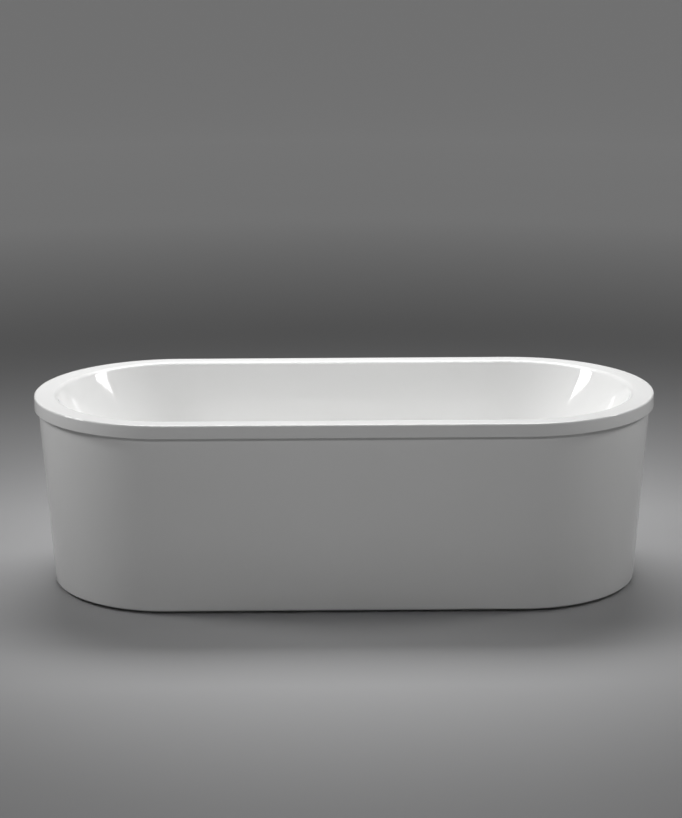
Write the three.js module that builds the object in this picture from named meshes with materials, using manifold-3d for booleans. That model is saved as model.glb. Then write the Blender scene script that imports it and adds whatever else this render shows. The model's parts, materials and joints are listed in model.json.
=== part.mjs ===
// A freestanding double-ended bath: an acrylic shell with a broad flat rim, a tapered one-piece skirt that
// hangs just clear of the floor, a steel under-frame on four screw feet, a pop-up waste worked by a turning
// overflow knob, and a low bottle trap. Millimetres, +Z up, +X along the bath, origin on the floor at its centre.
import * as THREE from "three";
import { mergeVertices } from "three/addons/utils/BufferGeometryUtils.js";
import Module from "manifold-3d";

const wasm = await Module();
wasm.setup();

// ---------- sizes that can be set ----------

// Overall
const bathLength = 1800;
const bathWidth = 800;
const bathHeight = 565;
const skirtFloorGap = 8;
const fitGap = 0.3; // between pieces that touch
const runningGap = 0.4; // between pieces that turn or slide

// Shell: acrylic with its glass-fibre backing
const shellWall = 7;
const lipHeight = 38;
const lipDraft = 1;
const rimOuterRadius = 4;
const rimSideWidth = 41; // of the flat, along the sides
const rimEndWidth = 51;
const sideEdgeRadius = 9; // of the basin's rolled edge
const endEdgeRadius = 16;
const sideSlope = THREE.MathUtils.degToRad(12);
const endSlope = THREE.MathUtils.degToRad(26);
const sideCove = 70;
const endCove = 130;
const basinFloorZ = 146;
const drainFall = 4;
const drainDishHalf = 60;

// Skirt
const skirtWall = 5;
const skirtLipGap = 2;
const skirtTaper = 36;
const skirtFootRadius = 8;
const skirtTopFlange = 25;
const skirtBottomFlange = 30;
const rimSealThickness = 4.4;

// Under-frame
const boardThickness = 12;
const boardInset = 14;
const hoseSlotHalf = 26;
const tubeSize = 30;
const tubeWall = 2;
const railInset = 53;
const endMemberInset = 20; // from the end of the straight sides
const battenInset = 210;
const tubeOverhang = 20;
const footInset = 51;

// Screw feet
const studRadius = 5;
const studAboveTube = 12;
const studHoleGap = 0.6;
const hexAcrossFlats = 17;
const lockNutHeight = 8;
const padRadius = 24;
const padTopRadius = 13;
const padRimHeight = 6;
const padHeight = 14;
const padSocketDepth = 8;
const wrenchFlatHeight = 6;

// Skirt brackets and their screws
const bracketWidth = 36;
const bracketPlate = 2.5;
const bracketEdge = 6; // past the screw's middle
const screwRadius = 2.2;
const screwHeadRadius = 4.6;
const screwHeadHeight = 3;
const screwInset = 9;

// Pop-up waste
const flangeTubeRadius = 24;
const wasteHoleGap = 2; // round the flange's tube
const wasteSeatWidth = 9; // of the flange and seals round the hole
const wasteSealThickness = 2;
const flangeThickness = 2.2;
const flangeTubeWall = 2.5;
const flangeTubeLength = 26;
const hubRadius = 6;
const hubHeight = 5;
const spokeWidth = 3;
const plugOverlap = 6; // past the flange's tube
const plugDome = 4;
const plugRim = 2;
const plugStemRadius = 3;
const plugSealThickness = 1.8;
const wasteBodyGap = 2.5; // round the flange's tube
const wasteBodyWall = 3.5;
const wasteCollarThickness = 4;
const tailRadius = 20;
const tailWall = 3;
const tailLength = 48;
const leverThickness = 6;
const leverTipRadius = 3;
const leverHorn = 10;
const leverAxleRadius = 2;
const leverBossWall = 2.5;
const leverSideGap = 2; // from the lever's boss and horn to the body's wall and floor
const plugTravel = 10;
const leverPlugGap = 0.5;
const leverHubGap = 1.5;

// Overflow
const overflowDrop = 85;
const overflowHoleRadius = 26;
const overflowSeatWidth = 10; // of the faceplate and seal round the hole
const faceplateThickness = 4;
const faceplateOpening = 23;
const knobRadius = 34;
const knobThickness = 13;
const knobStandOff = 8;
const knobEdge = 3;
const scallopCount = 10;
const scallopRadius = 9;
const scallopDepth = 1.6;
const spindleRadius = 4;
const crankRadius = 14;
const crankThickness = 5;
const overflowSealThickness = 2.6;
const overflowBodyWall = 3;
const overflowBodyStep = 2; // the collar stands out this far past the body

// Hose, cable and their fittings
const hoseRadius = 13; // and of the spigots it meets
const hoseWall = 2.5;
const hoseBend = 90;
const spigotWall = 3;
const hoseNutRadius = 17.5;
const hoseNutLength = 16;
const cableRadius = 2.5;
const cableOffset = 34;
const cableBoardGap = 3; // at least, under the base board
const glandRadius = 5;
const glandLength = 14;

// Trap
const trapRadius = 34;
const trapWall = 3.5;
const trapTopRoom = 5; // over the outlet
const trapSill = 7; // under it
const trapOutletWall = 1.7;
const trapOutletReach = 66;
const slipNutHeight = 13;
const slipNutWall = 5.5;
const capHeight = 6;
const outletPipeRadius = 16;
const outletPipeWall = 2;
const outletBend = 26;
const outletRun = 16;
const outletEndZ = 10;

// Fineness of round shapes
const endSteps = 16;
const roundSteps = 20;
const smallSteps = 12;

// ---------- sizes that follow from them ----------

const drainFloorZ = basinFloorZ - drainFall;
const wasteHoleRadius = flangeTubeRadius + wasteHoleGap;
const flangeRadius = wasteHoleRadius + wasteSeatWidth;
const plugRadius = flangeTubeRadius + plugOverlap;
const bodyInner = flangeTubeRadius + wasteBodyGap;
const wasteBodyRadius = bodyInner + wasteBodyWall;
const wasteBodyFlange = flangeRadius + 1;

// ---------- shape helpers ----------

const rightAngle = Math.PI / 2;
const point = (x, z) => new THREE.Vector2(x, z);

// A geometry as a solid for joining and cutting.
function solid(geometry) {
  const bare = geometry.index ? geometry.toNonIndexed() : geometry.clone();
  bare.deleteAttribute("normal");
  bare.deleteAttribute("uv");
  const merged = mergeVertices(bare, 1e-3);
  return new wasm.Manifold(
    new wasm.Mesh({
      numProp: 3,
      vertProperties: merged.attributes.position.array,
      triVerts: new Uint32Array(merged.index.array),
    }),
  );
}

// A solid back as a geometry.
function shape(body) {
  const mesh = body.getMesh();
  const geometry = new THREE.BufferGeometry();
  geometry.setAttribute("position", new THREE.BufferAttribute(mesh.vertProperties, 3));
  geometry.setIndex(new THREE.BufferAttribute(mesh.triVerts, 1));
  return geometry;
}

const join = (...parts) => shape(parts.map(solid).reduce((whole, part) => whole.add(part)));
const cut = (whole, ...tools) => shape(tools.map(solid).reduce((rest, tool) => rest.subtract(tool), solid(whole)));

// A body of revolution about Z. The outline starts and ends on the axis, or is a closed loop beside it.
function turned(outline, steps = roundSteps) {
  const area = outline.reduce((sum, a, i) => sum + a.cross(outline[(i + 1) % outline.length]), 0);
  const points = area > 0 ? outline : [...outline].reverse();
  const onAxis = points.some((p) => p.x === 0);
  return new THREE.LatheGeometry(onAxis ? points : [...points, points[0]], steps).rotateX(rightAngle);
}

// A flat ring or sleeve about Z.
const sleeve = (inner, outer, low, high, steps = roundSteps) =>
  turned([point(inner, low), point(outer, low), point(outer, high), point(inner, high)], steps);

// A round bar about Z.
const bar = (radius, low, high, steps = roundSteps) =>
  turned([point(0, low), point(radius, low), point(radius, high), point(0, high)], steps);

// A box from its low and high corners.
function block(low, high) {
  const size = high.map((value, i) => value - low[i]);
  const middle = high.map((value, i) => (value + low[i]) / 2);
  return new THREE.BoxGeometry(...size).translate(...middle);
}

// A hexagonal prism about Z.
const hexagon = (acrossFlats, low, high) => bar(acrossFlats / Math.sqrt(3), low, high, 6);

// A circle as a shape with a set number of sides.
function circle(radius, sides, Kind = THREE.Shape) {
  const points = Array.from({ length: sides }, (_, i) => {
    const turn = (i / sides) * 2 * Math.PI;
    return point(radius * Math.cos(turn), radius * Math.sin(turn));
  });
  return new Kind(points);
}

// A round tube, hollow where an inner radius is given, along a curve.
function pipe(path, outer, inner, sides, steps) {
  const section = circle(outer, sides);
  if (inner) section.holes.push(circle(inner, sides, THREE.Path));
  return new THREE.ExtrudeGeometry(section, { extrudePath: path, steps, bevelEnabled: false });
}

// One level outline of the bath: two straights joined by half circles, anticlockwise. The height may differ
// between the sides and the ends, and then runs smoothly from one to the other round each half circle.
function pillOutline(halfWidth, straight, sideZ, endZ = sideZ) {
  const points = [];
  for (const end of [1, -1]) {
    for (let i = 0; i <= endSteps; i++) {
      const turn = (i / endSteps) * Math.PI - rightAngle;
      const along = Math.cos(turn);
      const across = Math.sin(turn);
      const z = endZ * along ** 2 + sideZ * across ** 2;
      points.push(new THREE.Vector3(end * (straight + halfWidth * along), end * halfWidth * across, z));
    }
  }
  return points;
}

// Skins a list of outlines. The first and last are joined to each other, or each is closed with a fan.
function skin(outlines, looped) {
  const count = outlines[0].length;
  const points = outlines.flat();
  const faces = [];
  const last = looped ? outlines.length : outlines.length - 1;
  for (let k = 0; k < last; k++) {
    const low = k * count;
    const high = ((k + 1) % outlines.length) * count;
    for (let i = 0; i < count; i++) {
      const j = (i + 1) % count;
      faces.push(low + i, low + j, high + j, low + i, high + j, high + i);
    }
  }
  if (!looped) {
    const top = (outlines.length - 1) * count;
    for (const [start, order] of [[0, [1, 0]], [top, [0, 1]]]) {
      const middle = new THREE.Vector3();
      for (let i = 0; i < count; i++) middle.addScaledVector(points[start + i], 1 / count);
      points.push(middle);
      for (let i = 0; i < count; i++) {
        faces.push(points.length - 1, start + ((i + order[0]) % count), start + ((i + order[1]) % count));
      }
    }
  }
  return new THREE.BufferGeometry().setFromPoints(points).setIndex(faces);
}

// A closed section of widths and heights, carried round the bath's outline at a set straight length.
const hoop = (section, straight) => skin(section.map((p) => pillOutline(p.x, straight, p.y)), true);

// The same outline as a flat shape.
function pillShape(halfWidth, straight) {
  const pill = new THREE.Shape();
  pill.absarc(straight, 0, halfWidth, -rightAngle, rightAngle, false);
  pill.absarc(-straight, 0, halfWidth, rightAngle, 3 * rightAngle, false);
  return pill;
}

// ---------- materials ----------

const finish = (color, roughness, metalness) => new THREE.MeshStandardMaterial({ color, roughness, metalness });
const whiteAcrylic = finish(0xf4f4f2, 0.12, 0);
const brightChrome = finish(0xe4e6e8, 0.06, 1);
const zincSteel = finish(0xa9adb0, 0.42, 1);
const blackPlastic = finish(0x1d1e20, 0.55, 0);
const greyPlastic = finish(0xc9ccce, 0.45, 0);
const blackRubber = finish(0x151515, 0.85, 0);
const resinBoard = finish(0xb58a5a, 0.75, 0);
const greyFoam = finish(0x4a4c4e, 0.95, 0);

const bath = new THREE.Group();

function add(name, geometry, material, parent = bath) {
  const mesh = new THREE.Mesh(geometry, material);
  mesh.name = name;
  parent.add(mesh);
  return mesh;
}

// ---------- shell ----------

const endRadius = bathWidth / 2;
const rimStraight = bathLength / 2 - endRadius;
const rimFlatSide = endRadius - rimOuterRadius - rimSideWidth;
const rimFlatEnd = bathLength / 2 - rimOuterRadius - rimEndWidth;

// The inside profile from the rim's flat to the basin floor: a rolled edge, a sloping wall and a cove. depth is
// how far under the visible surface it lies, flatEnd where the rim's flat stops, measured from the middle.
function basinProfile(flatEnd, edgeRadius, slope, cove, depth) {
  const edge = point(flatEnd, bathHeight - edgeRadius);
  const wallDown = point(-Math.sin(slope), -Math.cos(slope));
  const wallOut = point(Math.cos(slope), -Math.sin(slope));
  const wallTop = edge.clone().addScaledVector(wallOut, -edgeRadius);
  const wallRun = (wallTop.y + cove * Math.sin(slope) - basinFloorZ - cove) / Math.cos(slope);
  const coveCentre = wallTop.clone().addScaledVector(wallDown, wallRun).addScaledVector(wallOut, -cove);
  const edgeSteps = 4;
  const coveSteps = 6;
  const points = [];
  for (let i = 0; i <= edgeSteps; i++) {
    const turn = (i / edgeSteps) * (rightAngle - slope);
    const radius = edgeRadius - depth;
    points.push(point(edge.x - radius * Math.sin(turn), edge.y + radius * Math.cos(turn)));
  }
  for (let i = 0; i <= coveSteps; i++) {
    const turn = slope + (i / coveSteps) * (rightAngle - slope);
    const radius = cove + depth;
    points.push(point(coveCentre.x + radius * Math.cos(turn), coveCentre.y - radius * Math.sin(turn)));
  }
  return points;
}

const sideProfile = (depth) => basinProfile(rimFlatSide, sideEdgeRadius, sideSlope, sideCove, depth);
const endProfile = (depth) => basinProfile(rimFlatEnd, endEdgeRadius, endSlope, endCove, depth);

function basinOutlines(depth) {
  const side = sideProfile(depth);
  const end = endProfile(depth);
  return side.map((p, i) => pillOutline(p.x, end[i].x - p.x, p.y, end[i].y));
}

const floorSide = sideProfile(0).at(-1).x;
const floorEnd = endProfile(0).at(-1).x;

// Where the inner side wall stands, at a height on its straight slope.
function sideWallAt(z) {
  const top = point(
    rimFlatSide - sideEdgeRadius * Math.cos(sideSlope),
    bathHeight - sideEdgeRadius * (1 - Math.sin(sideSlope)),
  );
  return top.x - (top.y - z) * Math.tan(sideSlope);
}

const overflowZ = bathHeight - overflowDrop;
const overflowPlace = new THREE.Group();
overflowPlace.position.set(0, -sideWallAt(overflowZ), overflowZ);
overflowPlace.rotation.x = sideSlope - rightAngle; // its Z points into the basin, its Y down the wall
overflowPlace.updateMatrix();
bath.add(overflowPlace);

function bathShell() {
  const rim = (halfWidth, z) => pillOutline(halfWidth, rimStraight, z);
  const lipZ = bathHeight - lipHeight;
  const dish = (z) => pillOutline(drainDishHalf, drainDishHalf, z);
  const edgeTop = bathHeight - rimOuterRadius;
  const faceTop = endRadius - lipDraft;
  const eased = [0, 1, 2, 3].map((i) => {
    const turn = (i / 3) * rightAngle;
    return rim(faceTop - rimOuterRadius * (1 - Math.cos(turn)), edgeTop + rimOuterRadius * Math.sin(turn));
  });
  const outlines = [
    dish(drainFloorZ - shellWall),
    ...basinOutlines(shellWall).reverse(),
    rim(faceTop - shellWall, bathHeight - shellWall),
    rim(endRadius - shellWall, lipZ),
    rim(endRadius, lipZ),
    ...eased,
    ...basinOutlines(0),
    dish(drainFloorZ),
  ];
  const wasteHole = bar(wasteHoleRadius, drainFloorZ - 3 * shellWall, drainFloorZ + shellWall);
  const overflowHole = bar(overflowHoleRadius, -2 * shellWall, shellWall).applyMatrix4(overflowPlace.matrix);
  return cut(skin(outlines, false), wasteHole, overflowHole);
}

add("bath_shell", bathShell(), whiteAcrylic);

// ---------- skirt ----------

const rimUnderZ = bathHeight - shellWall;
const skirtTopZ = rimUnderZ - rimSealThickness - 2 * fitGap;
const skirtTopHalf = endRadius - lipDraft - shellWall - skirtLipGap;
const skirtBottomHalf = skirtTopHalf - skirtTaper;
const skirtInnerBottom = skirtBottomHalf - skirtBottomFlange;
const flangeTopZ = skirtFloorGap + skirtWall;

// The skirt's outer face at a height.
const skirtFaceAt = (z) =>
  skirtBottomHalf + (skirtTaper * (z - skirtFloorGap)) / (skirtTopZ - skirtFloorGap);

const bracketSeats = [1, -1].flatMap((x) =>
  [1, -1].map((y) => ({ x, y, name: (x > 0 ? "right" : "left") + "_" + (y > 0 ? "rear" : "front") })),
);
const endMemberX = rimStraight - endMemberInset;
const footY = skirtInnerBottom - footInset;
const screwY = skirtInnerBottom + screwInset;

function skirtPanel() {
  const section = [point(skirtInnerBottom, skirtFloorGap)];
  for (let i = 0; i <= 3; i++) {
    const turn = (i / 3) * rightAngle;
    const z = skirtFloorGap + skirtFootRadius * (1 - Math.cos(turn));
    section.push(point(skirtFaceAt(z) - skirtFootRadius * (1 - Math.sin(turn)), z));
  }
  section.push(
    point(skirtTopHalf, skirtTopZ),
    point(skirtTopHalf - skirtTopFlange, skirtTopZ),
    point(skirtTopHalf - skirtTopFlange, skirtTopZ - skirtWall),
    point(skirtFaceAt(skirtTopZ - skirtWall) - skirtWall, skirtTopZ - skirtWall),
    point(skirtFaceAt(flangeTopZ) - skirtWall - skirtFootRadius / 2, flangeTopZ),
    point(skirtInnerBottom, flangeTopZ),
  );
  const holes = bracketSeats.map(({ x, y }) =>
    bar(screwRadius + fitGap, 0, 2 * flangeTopZ, smallSteps).translate(x * endMemberX, y * screwY, 0),
  );
  return cut(hoop(section, rimStraight), ...holes);
}

add("skirt_panel", skirtPanel(), whiteAcrylic);

const sealInner = skirtTopHalf - skirtTopFlange;
const sealLow = skirtTopZ + fitGap;
const rimSeal = [
  point(sealInner, sealLow),
  point(skirtTopHalf - fitGap, sealLow),
  point(skirtTopHalf - fitGap, sealLow + rimSealThickness),
  point(sealInner, sealLow + rimSealThickness),
];
add("rim_seal", hoop(rimSeal, rimStraight), greyFoam);

// ---------- under-frame ----------

const boardTopZ = drainFloorZ - shellWall - fitGap;
const boardLowZ = boardTopZ - boardThickness;
const battenTopZ = boardLowZ - fitGap;
const battenLowZ = battenTopZ - tubeSize;
const railTopZ = battenLowZ - fitGap;
const railLowZ = railTopZ - tubeSize;
const halfTube = tubeSize / 2;
const railY = floorSide - railInset;

function baseBoard() {
  const halfWidth = floorSide - boardInset;
  const board = pillShape(halfWidth, floorEnd - boardInset - halfWidth);
  const panel = new THREE.ExtrudeGeometry(board, { depth: boardThickness, bevelEnabled: false, curveSegments: 10 });
  const opening = bar(wasteBodyFlange + boardInset, -1, boardThickness + 1);
  const hoseSlot = block([-hoseSlotHalf, -halfWidth - 1, -1], [hoseSlotHalf, 0, boardThickness + 1]);
  return cut(panel, opening, hoseSlot);
}

add("base_board", baseBoard(), resinBoard).position.z = boardLowZ;

// A square tube along X, from its low to its high end, with its underside at z = 0.
function squareTube(low, high) {
  const outer = block([low, -halfTube, 0], [high, halfTube, tubeSize]);
  const bore = halfTube - tubeWall;
  return cut(outer, block([low - 1, -bore, tubeWall], [high + 1, bore, tubeSize - tubeWall]));
}

const studHole = (along) => bar(studRadius + studHoleGap, -1, tubeSize + 1, smallSteps).translate(along, 0, 0);
const memberEnd = footY + tubeOverhang;
const railLength = endMemberX - halfTube - fitGap;

for (const [side, y] of [["front", -1], ["rear", 1]]) {
  add(`frame_rail_${side}`, squareTube(-railLength, railLength), zincSteel).position.set(0, y * railY, railLowZ);
}

for (const [side, x] of [["left", -1], ["right", 1]]) {
  const member = cut(squareTube(-memberEnd, memberEnd), studHole(-footY), studHole(footY));
  const across = add(`frame_end_member_${side}`, member, zincSteel);
  across.position.set(x * endMemberX, 0, railLowZ);
  across.rotation.z = rightAngle;
  const batten = add(`frame_batten_${side}`, squareTube(-railY - halfTube, railY + halfTube), zincSteel);
  batten.position.set(x * (endMemberX - battenInset), 0, battenLowZ);
  batten.rotation.z = rightAngle;
}

// ---------- skirt brackets ----------

// An angle plate: it stands against a frame tube's end and its foot lies on the skirt's bottom flange.
function skirtBracket() {
  const foot = flangeTopZ + fitGap;
  const wall = memberEnd + fitGap;
  const standing = block([-bracketWidth / 2, wall, foot], [bracketWidth / 2, wall + bracketPlate, railTopZ]);
  const lying = block([-bracketWidth / 2, wall, foot], [bracketWidth / 2, screwY + bracketEdge, foot + bracketPlate]);
  const hole = bar(screwRadius + fitGap, foot - 1, foot + 2 * bracketPlate, smallSteps).translate(0, screwY, 0);
  return cut(join(standing, lying), hole);
}

function bracketScrew() {
  const headLow = flangeTopZ + bracketPlate + 2 * fitGap;
  const headTop = headLow + screwHeadHeight;
  return turned(
    [
      point(0, skirtFloorGap),
      point(screwRadius, skirtFloorGap + screwRadius),
      point(screwRadius, headLow),
      point(screwHeadRadius, headLow),
      point(screwHeadRadius * 0.8, headTop),
      point(0, headTop),
    ],
    smallSteps,
  );
}

for (const { x, y, name } of bracketSeats) {
  const bracket = add(`skirt_bracket_${name}`, skirtBracket(), zincSteel);
  bracket.position.x = x * endMemberX;
  bracket.rotation.z = y > 0 ? 0 : Math.PI;
  add(`skirt_screw_${name}`, bracketScrew(), zincSteel).position.set(x * endMemberX, y * screwY, 0);
}

// ---------- screw feet ----------

const footSeats = [
  ["left_front", -endMemberX, -footY],
  ["left_rear", -endMemberX, footY],
  ["right_front", endMemberX, -footY],
  ["right_rear", endMemberX, footY],
];

function footPad() {
  return turned([
    point(0, 0),
    point(padRadius, 0),
    point(padRadius, padRimHeight),
    point(padTopRadius, padHeight),
    point(studRadius + runningGap, padHeight),
    point(studRadius + runningGap, padHeight - padSocketDepth),
    point(0, padHeight - padSocketDepth),
  ]);
}

function footStud() {
  const wrenchLow = padHeight + runningGap;
  const stud = bar(studRadius, padHeight - padSocketDepth + runningGap, railTopZ + studAboveTube, smallSteps);
  return join(stud, hexagon(hexAcrossFlats, wrenchLow, wrenchLow + wrenchFlatHeight));
}

function footLockNut() {
  const top = railLowZ - fitGap;
  const hole = bar(studRadius + runningGap, 0, bathHeight, smallSteps);
  return cut(hexagon(hexAcrossFlats, top - lockNutHeight, top), hole);
}

for (const [name, x, y] of footSeats) {
  add(`foot_pad_${name}`, footPad(), blackPlastic).position.set(x, y, 0);
  add(`foot_stud_${name}`, footStud(), zincSteel).position.set(x, y, 0);
  add(`foot_lock_nut_${name}`, footLockNut(), zincSteel).position.set(x, y, 0);
}

// ---------- pop-up waste, about the vertical line through the drain ----------

const upperSealZ = drainFloorZ + fitGap;
const flangeZ = upperSealZ + wasteSealThickness + fitGap;
const flangeTop = flangeZ + flangeThickness;
const plugSealZ = flangeTop + fitGap;
const plugZ = plugSealZ + plugSealThickness + fitGap;
const lowerSealTop = drainFloorZ - shellWall - fitGap;
const lowerSealLow = lowerSealTop - wasteSealThickness;
const bodyTop = lowerSealLow - fitGap;
const hubLow = flangeZ - flangeTubeLength;
const leverBossRadius = leverAxleRadius + leverBossWall;
const leverArm = bodyInner - leverBossRadius - leverSideGap;
const leverSwing = 2 * Math.asin(plugTravel / 2 / leverArm); // the arm swings evenly about the level
const leverPivot = new THREE.Vector3(leverArm, 0, hubLow - leverHubGap - leverTipRadius - plugTravel / 2);
const leverTipLow = leverPivot.z - plugTravel / 2;
const leverHornTip = leverHorn + 2;
const bodyLow = leverPivot.z - leverHornTip - leverSideGap - 1 - wasteBodyWall;
const tailLow = bodyLow - tailLength;
const plugStemEnd = leverTipLow + leverTipRadius + leverPlugGap;
const hoseZ = bodyTop - hoseNutRadius;

add("waste_upper_seal", sleeve(wasteHoleRadius + 1, flangeRadius - 1, upperSealZ, upperSealZ + wasteSealThickness), blackRubber);
add("waste_lower_seal", sleeve(wasteHoleRadius + 1, wasteBodyFlange - 1, lowerSealLow, lowerSealTop), blackRubber);

function wasteFlange() {
  const bore = flangeTubeRadius - flangeTubeWall;
  const funnel = turned([
    point(bore, hubLow),
    point(flangeTubeRadius, hubLow),
    point(flangeTubeRadius, flangeZ),
    point(flangeRadius, flangeZ),
    point(flangeRadius - 1, flangeTop - 0.4),
    point(flangeRadius - 4, flangeTop),
    point(bore + 2, flangeTop),
    point(bore, flangeTop - 2),
  ]);
  const spoke = block([-flangeTubeRadius + 1, -spokeWidth / 2, hubLow], [flangeTubeRadius - 1, spokeWidth / 2, hubLow + hubHeight]);
  const cross = join(spoke, spoke.clone().rotateZ(rightAngle), bar(hubRadius, hubLow, hubLow + hubHeight, smallSteps));
  const guide = bar(plugStemRadius + runningGap, hubLow - 1, hubLow + hubHeight + 1, smallSteps);
  return cut(join(funnel, cross), guide);
}

add("waste_flange", wasteFlange(), brightChrome);

function wastePlug() {
  const domeSteps = 4;
  const dome = Array.from({ length: domeSteps + 1 }, (_, i) => {
    const turn = (i / domeSteps) * rightAngle;
    return point(i === domeSteps ? 0 : plugRadius * Math.cos(turn), plugZ + plugRim + plugDome * Math.sin(turn));
  });
  return turned([
    point(0, plugStemEnd),
    point(plugStemRadius, plugStemEnd),
    point(plugStemRadius, plugZ),
    point(plugRadius, plugZ),
    ...dome,
  ]);
}

add("waste_plug", wastePlug(), brightChrome);
add("plug_seal", sleeve(flangeTubeRadius, plugRadius - 1, plugSealZ, plugSealZ + plugSealThickness), blackRubber);

// A spigot for the overflow hose, along Z from its root to its mouth.
const spigot = (low, high) => bar(hoseRadius, low, high, smallSteps);
const spigotBore = (low, high) => bar(hoseRadius - spigotWall, low, high, smallSteps);
const bodySpigotEnd = wasteBodyFlange + hoseNutLength + fitGap;

function wasteBody() {
  const tailInner = tailRadius - tailWall;
  const cup = turned([
    point(bodyInner, bodyTop),
    point(bodyInner, bodyLow + wasteBodyWall),
    point(tailInner, bodyLow + wasteBodyWall),
    point(tailInner, tailLow),
    point(tailRadius, tailLow),
    point(tailRadius, bodyLow),
    point(wasteBodyRadius, bodyLow),
    point(wasteBodyRadius, bodyTop - wasteCollarThickness),
    point(wasteBodyFlange, bodyTop - wasteCollarThickness),
    point(wasteBodyFlange, bodyTop),
  ]);
  const inlet = (tube) => tube.rotateX(rightAngle).translate(0, 0, hoseZ);
  const gland = bar(glandRadius, bodyInner + 1, wasteBodyRadius + glandLength, smallSteps);
  const glandBore = bar(cableRadius + fitGap, bodyInner - 5, wasteBodyRadius + 2 * glandLength, smallSteps);
  const glandAt = (tube) => tube.rotateY(rightAngle).translate(0, 0, leverPivot.z - leverHorn);
  const axleHole = bar(leverAxleRadius + fitGap, -axleHalf - fitGap, axleHalf + fitGap, smallSteps);
  return cut(
    join(cup, inlet(spigot(bodyInner + 1, bodySpigotEnd)), glandAt(gland)),
    inlet(spigotBore(bodyInner - 8, bodySpigotEnd + 1)),
    glandAt(glandBore),
    axleHole.rotateX(rightAngle).translate(leverPivot.x, 0, leverPivot.z),
  );
}

// The lever's axle lies across the body, its ends in blind holes.
const wallHalfChord = Math.sqrt(wasteBodyRadius ** 2 - leverArm ** 2);
const axleHalf = wallHalfChord - 2;

add("waste_body", wasteBody(), blackPlastic);
const axle = add("lever_axle", bar(leverAxleRadius, -axleHalf, axleHalf, smallSteps), zincSteel);
axle.rotation.x = rightAngle;
axle.position.copy(leverPivot);

// The lever about its axle: an arm to the plug's stem, with a round tip, and a short horn for the cable.
function liftLever() {
  const half = leverThickness / 2;
  const flat = (geometry) => geometry.rotateX(rightAngle);
  const boss = flat(bar(leverBossRadius, -half, half, smallSteps));
  const tip = flat(bar(leverTipRadius, -half, half, smallSteps)).translate(-leverArm, 0, 0);
  const arm = block([-leverArm, -half, -1.6], [0, half, 1.6]);
  const swung = join(boss, arm, tip).rotateY(-leverSwing / 2);
  const horn = block([-1.5, -half, -leverHornTip], [1.5, half, 0]);
  const hole = flat(bar(leverAxleRadius + runningGap, -half - 1, half + 1, smallSteps));
  return cut(join(swung, horn), hole);
}

add("lift_lever", liftLever(), greyPlastic).position.copy(leverPivot);

// ---------- overflow, about the line square to the front wall ----------

const sealBack = -shellWall - fitGap;
const sealFront = sealBack - overflowSealThickness;
const bodyFront = sealFront - fitGap;
const faceplateRadius = overflowHoleRadius + overflowSeatWidth;
const overflowBodyRadius = faceplateRadius - overflowBodyStep;
const overflowOutletLength = faceplateRadius + hoseNutLength + 2 * fitGap;
const outletMiddle = bodyFront - hoseNutRadius;
const bodyBack = outletMiddle - hoseRadius - 1;
const plateFront = fitGap + faceplateThickness;
const knobBack = plateFront + knobStandOff;
const knobFront = knobBack + knobThickness;
const crankBack = bodyBack + overflowBodyWall + 3;

add("overflow_seal", sleeve(overflowHoleRadius + 1, faceplateRadius - 1, sealFront, sealBack), blackRubber, overflowPlace);

function overflowFaceplate() {
  const ring = turned([
    point(faceplateOpening, fitGap),
    point(faceplateRadius, fitGap),
    point(faceplateRadius, fitGap + 1.5),
    point(faceplateRadius - 2, plateFront),
    point(faceplateOpening, plateFront),
  ]);
  const spoke = block([-faceplateOpening - 1, -spokeWidth, fitGap], [faceplateOpening + 1, spokeWidth, plateFront - 0.5]);
  const hub = bar(2 * spindleRadius, fitGap - 4, plateFront + 2, smallSteps);
  const bore = bar(spindleRadius + runningGap, -10, 20, smallSteps);
  return cut(join(ring, spoke, spoke.clone().rotateZ(rightAngle), hub), bore);
}

add("overflow_faceplate", overflowFaceplate(), brightChrome, overflowPlace);

// A round knob with shallow scallops for wet fingers, and a blind socket for the spindle.
function overflowKnob() {
  const disc = turned([
    point(0, knobBack),
    point(knobRadius - 1, knobBack),
    point(knobRadius, knobBack + 1),
    point(knobRadius, knobFront - knobEdge),
    point(knobRadius - knobEdge, knobFront),
    point(0, knobFront),
  ], 2 * scallopCount * 2);
  const socket = bar(spindleRadius + fitGap, knobBack - 1, knobBack + knobThickness / 2, smallSteps);
  const scallops = Array.from({ length: scallopCount }, (_, i) =>
    bar(scallopRadius, knobBack - 1, knobFront + 1, smallSteps)
      .translate(knobRadius + scallopRadius - scallopDepth, 0, 0)
      .rotateZ((i / scallopCount) * 2 * Math.PI),
  );
  return cut(disc, socket, ...scallops);
}

add("overflow_knob", overflowKnob(), brightChrome, overflowPlace);

const spindleFront = knobBack + knobThickness / 2 - fitGap;
const crankFront = crankBack + crankThickness;
add("overflow_spindle", bar(spindleRadius, crankBack, spindleFront, smallSteps), zincSteel, overflowPlace);

// The disc that winds the cable, with an eye for the wire's end.
function cableCrank() {
  const disc = sleeve(spindleRadius + fitGap, crankRadius, crankBack, crankFront, smallSteps);
  const eye = bar(1.5, crankBack - 1, crankFront + 1, 8).translate(crankRadius - 4, 0, 0);
  return cut(disc, eye);
}

add("cable_crank", cableCrank(), greyPlastic, overflowPlace);

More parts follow.
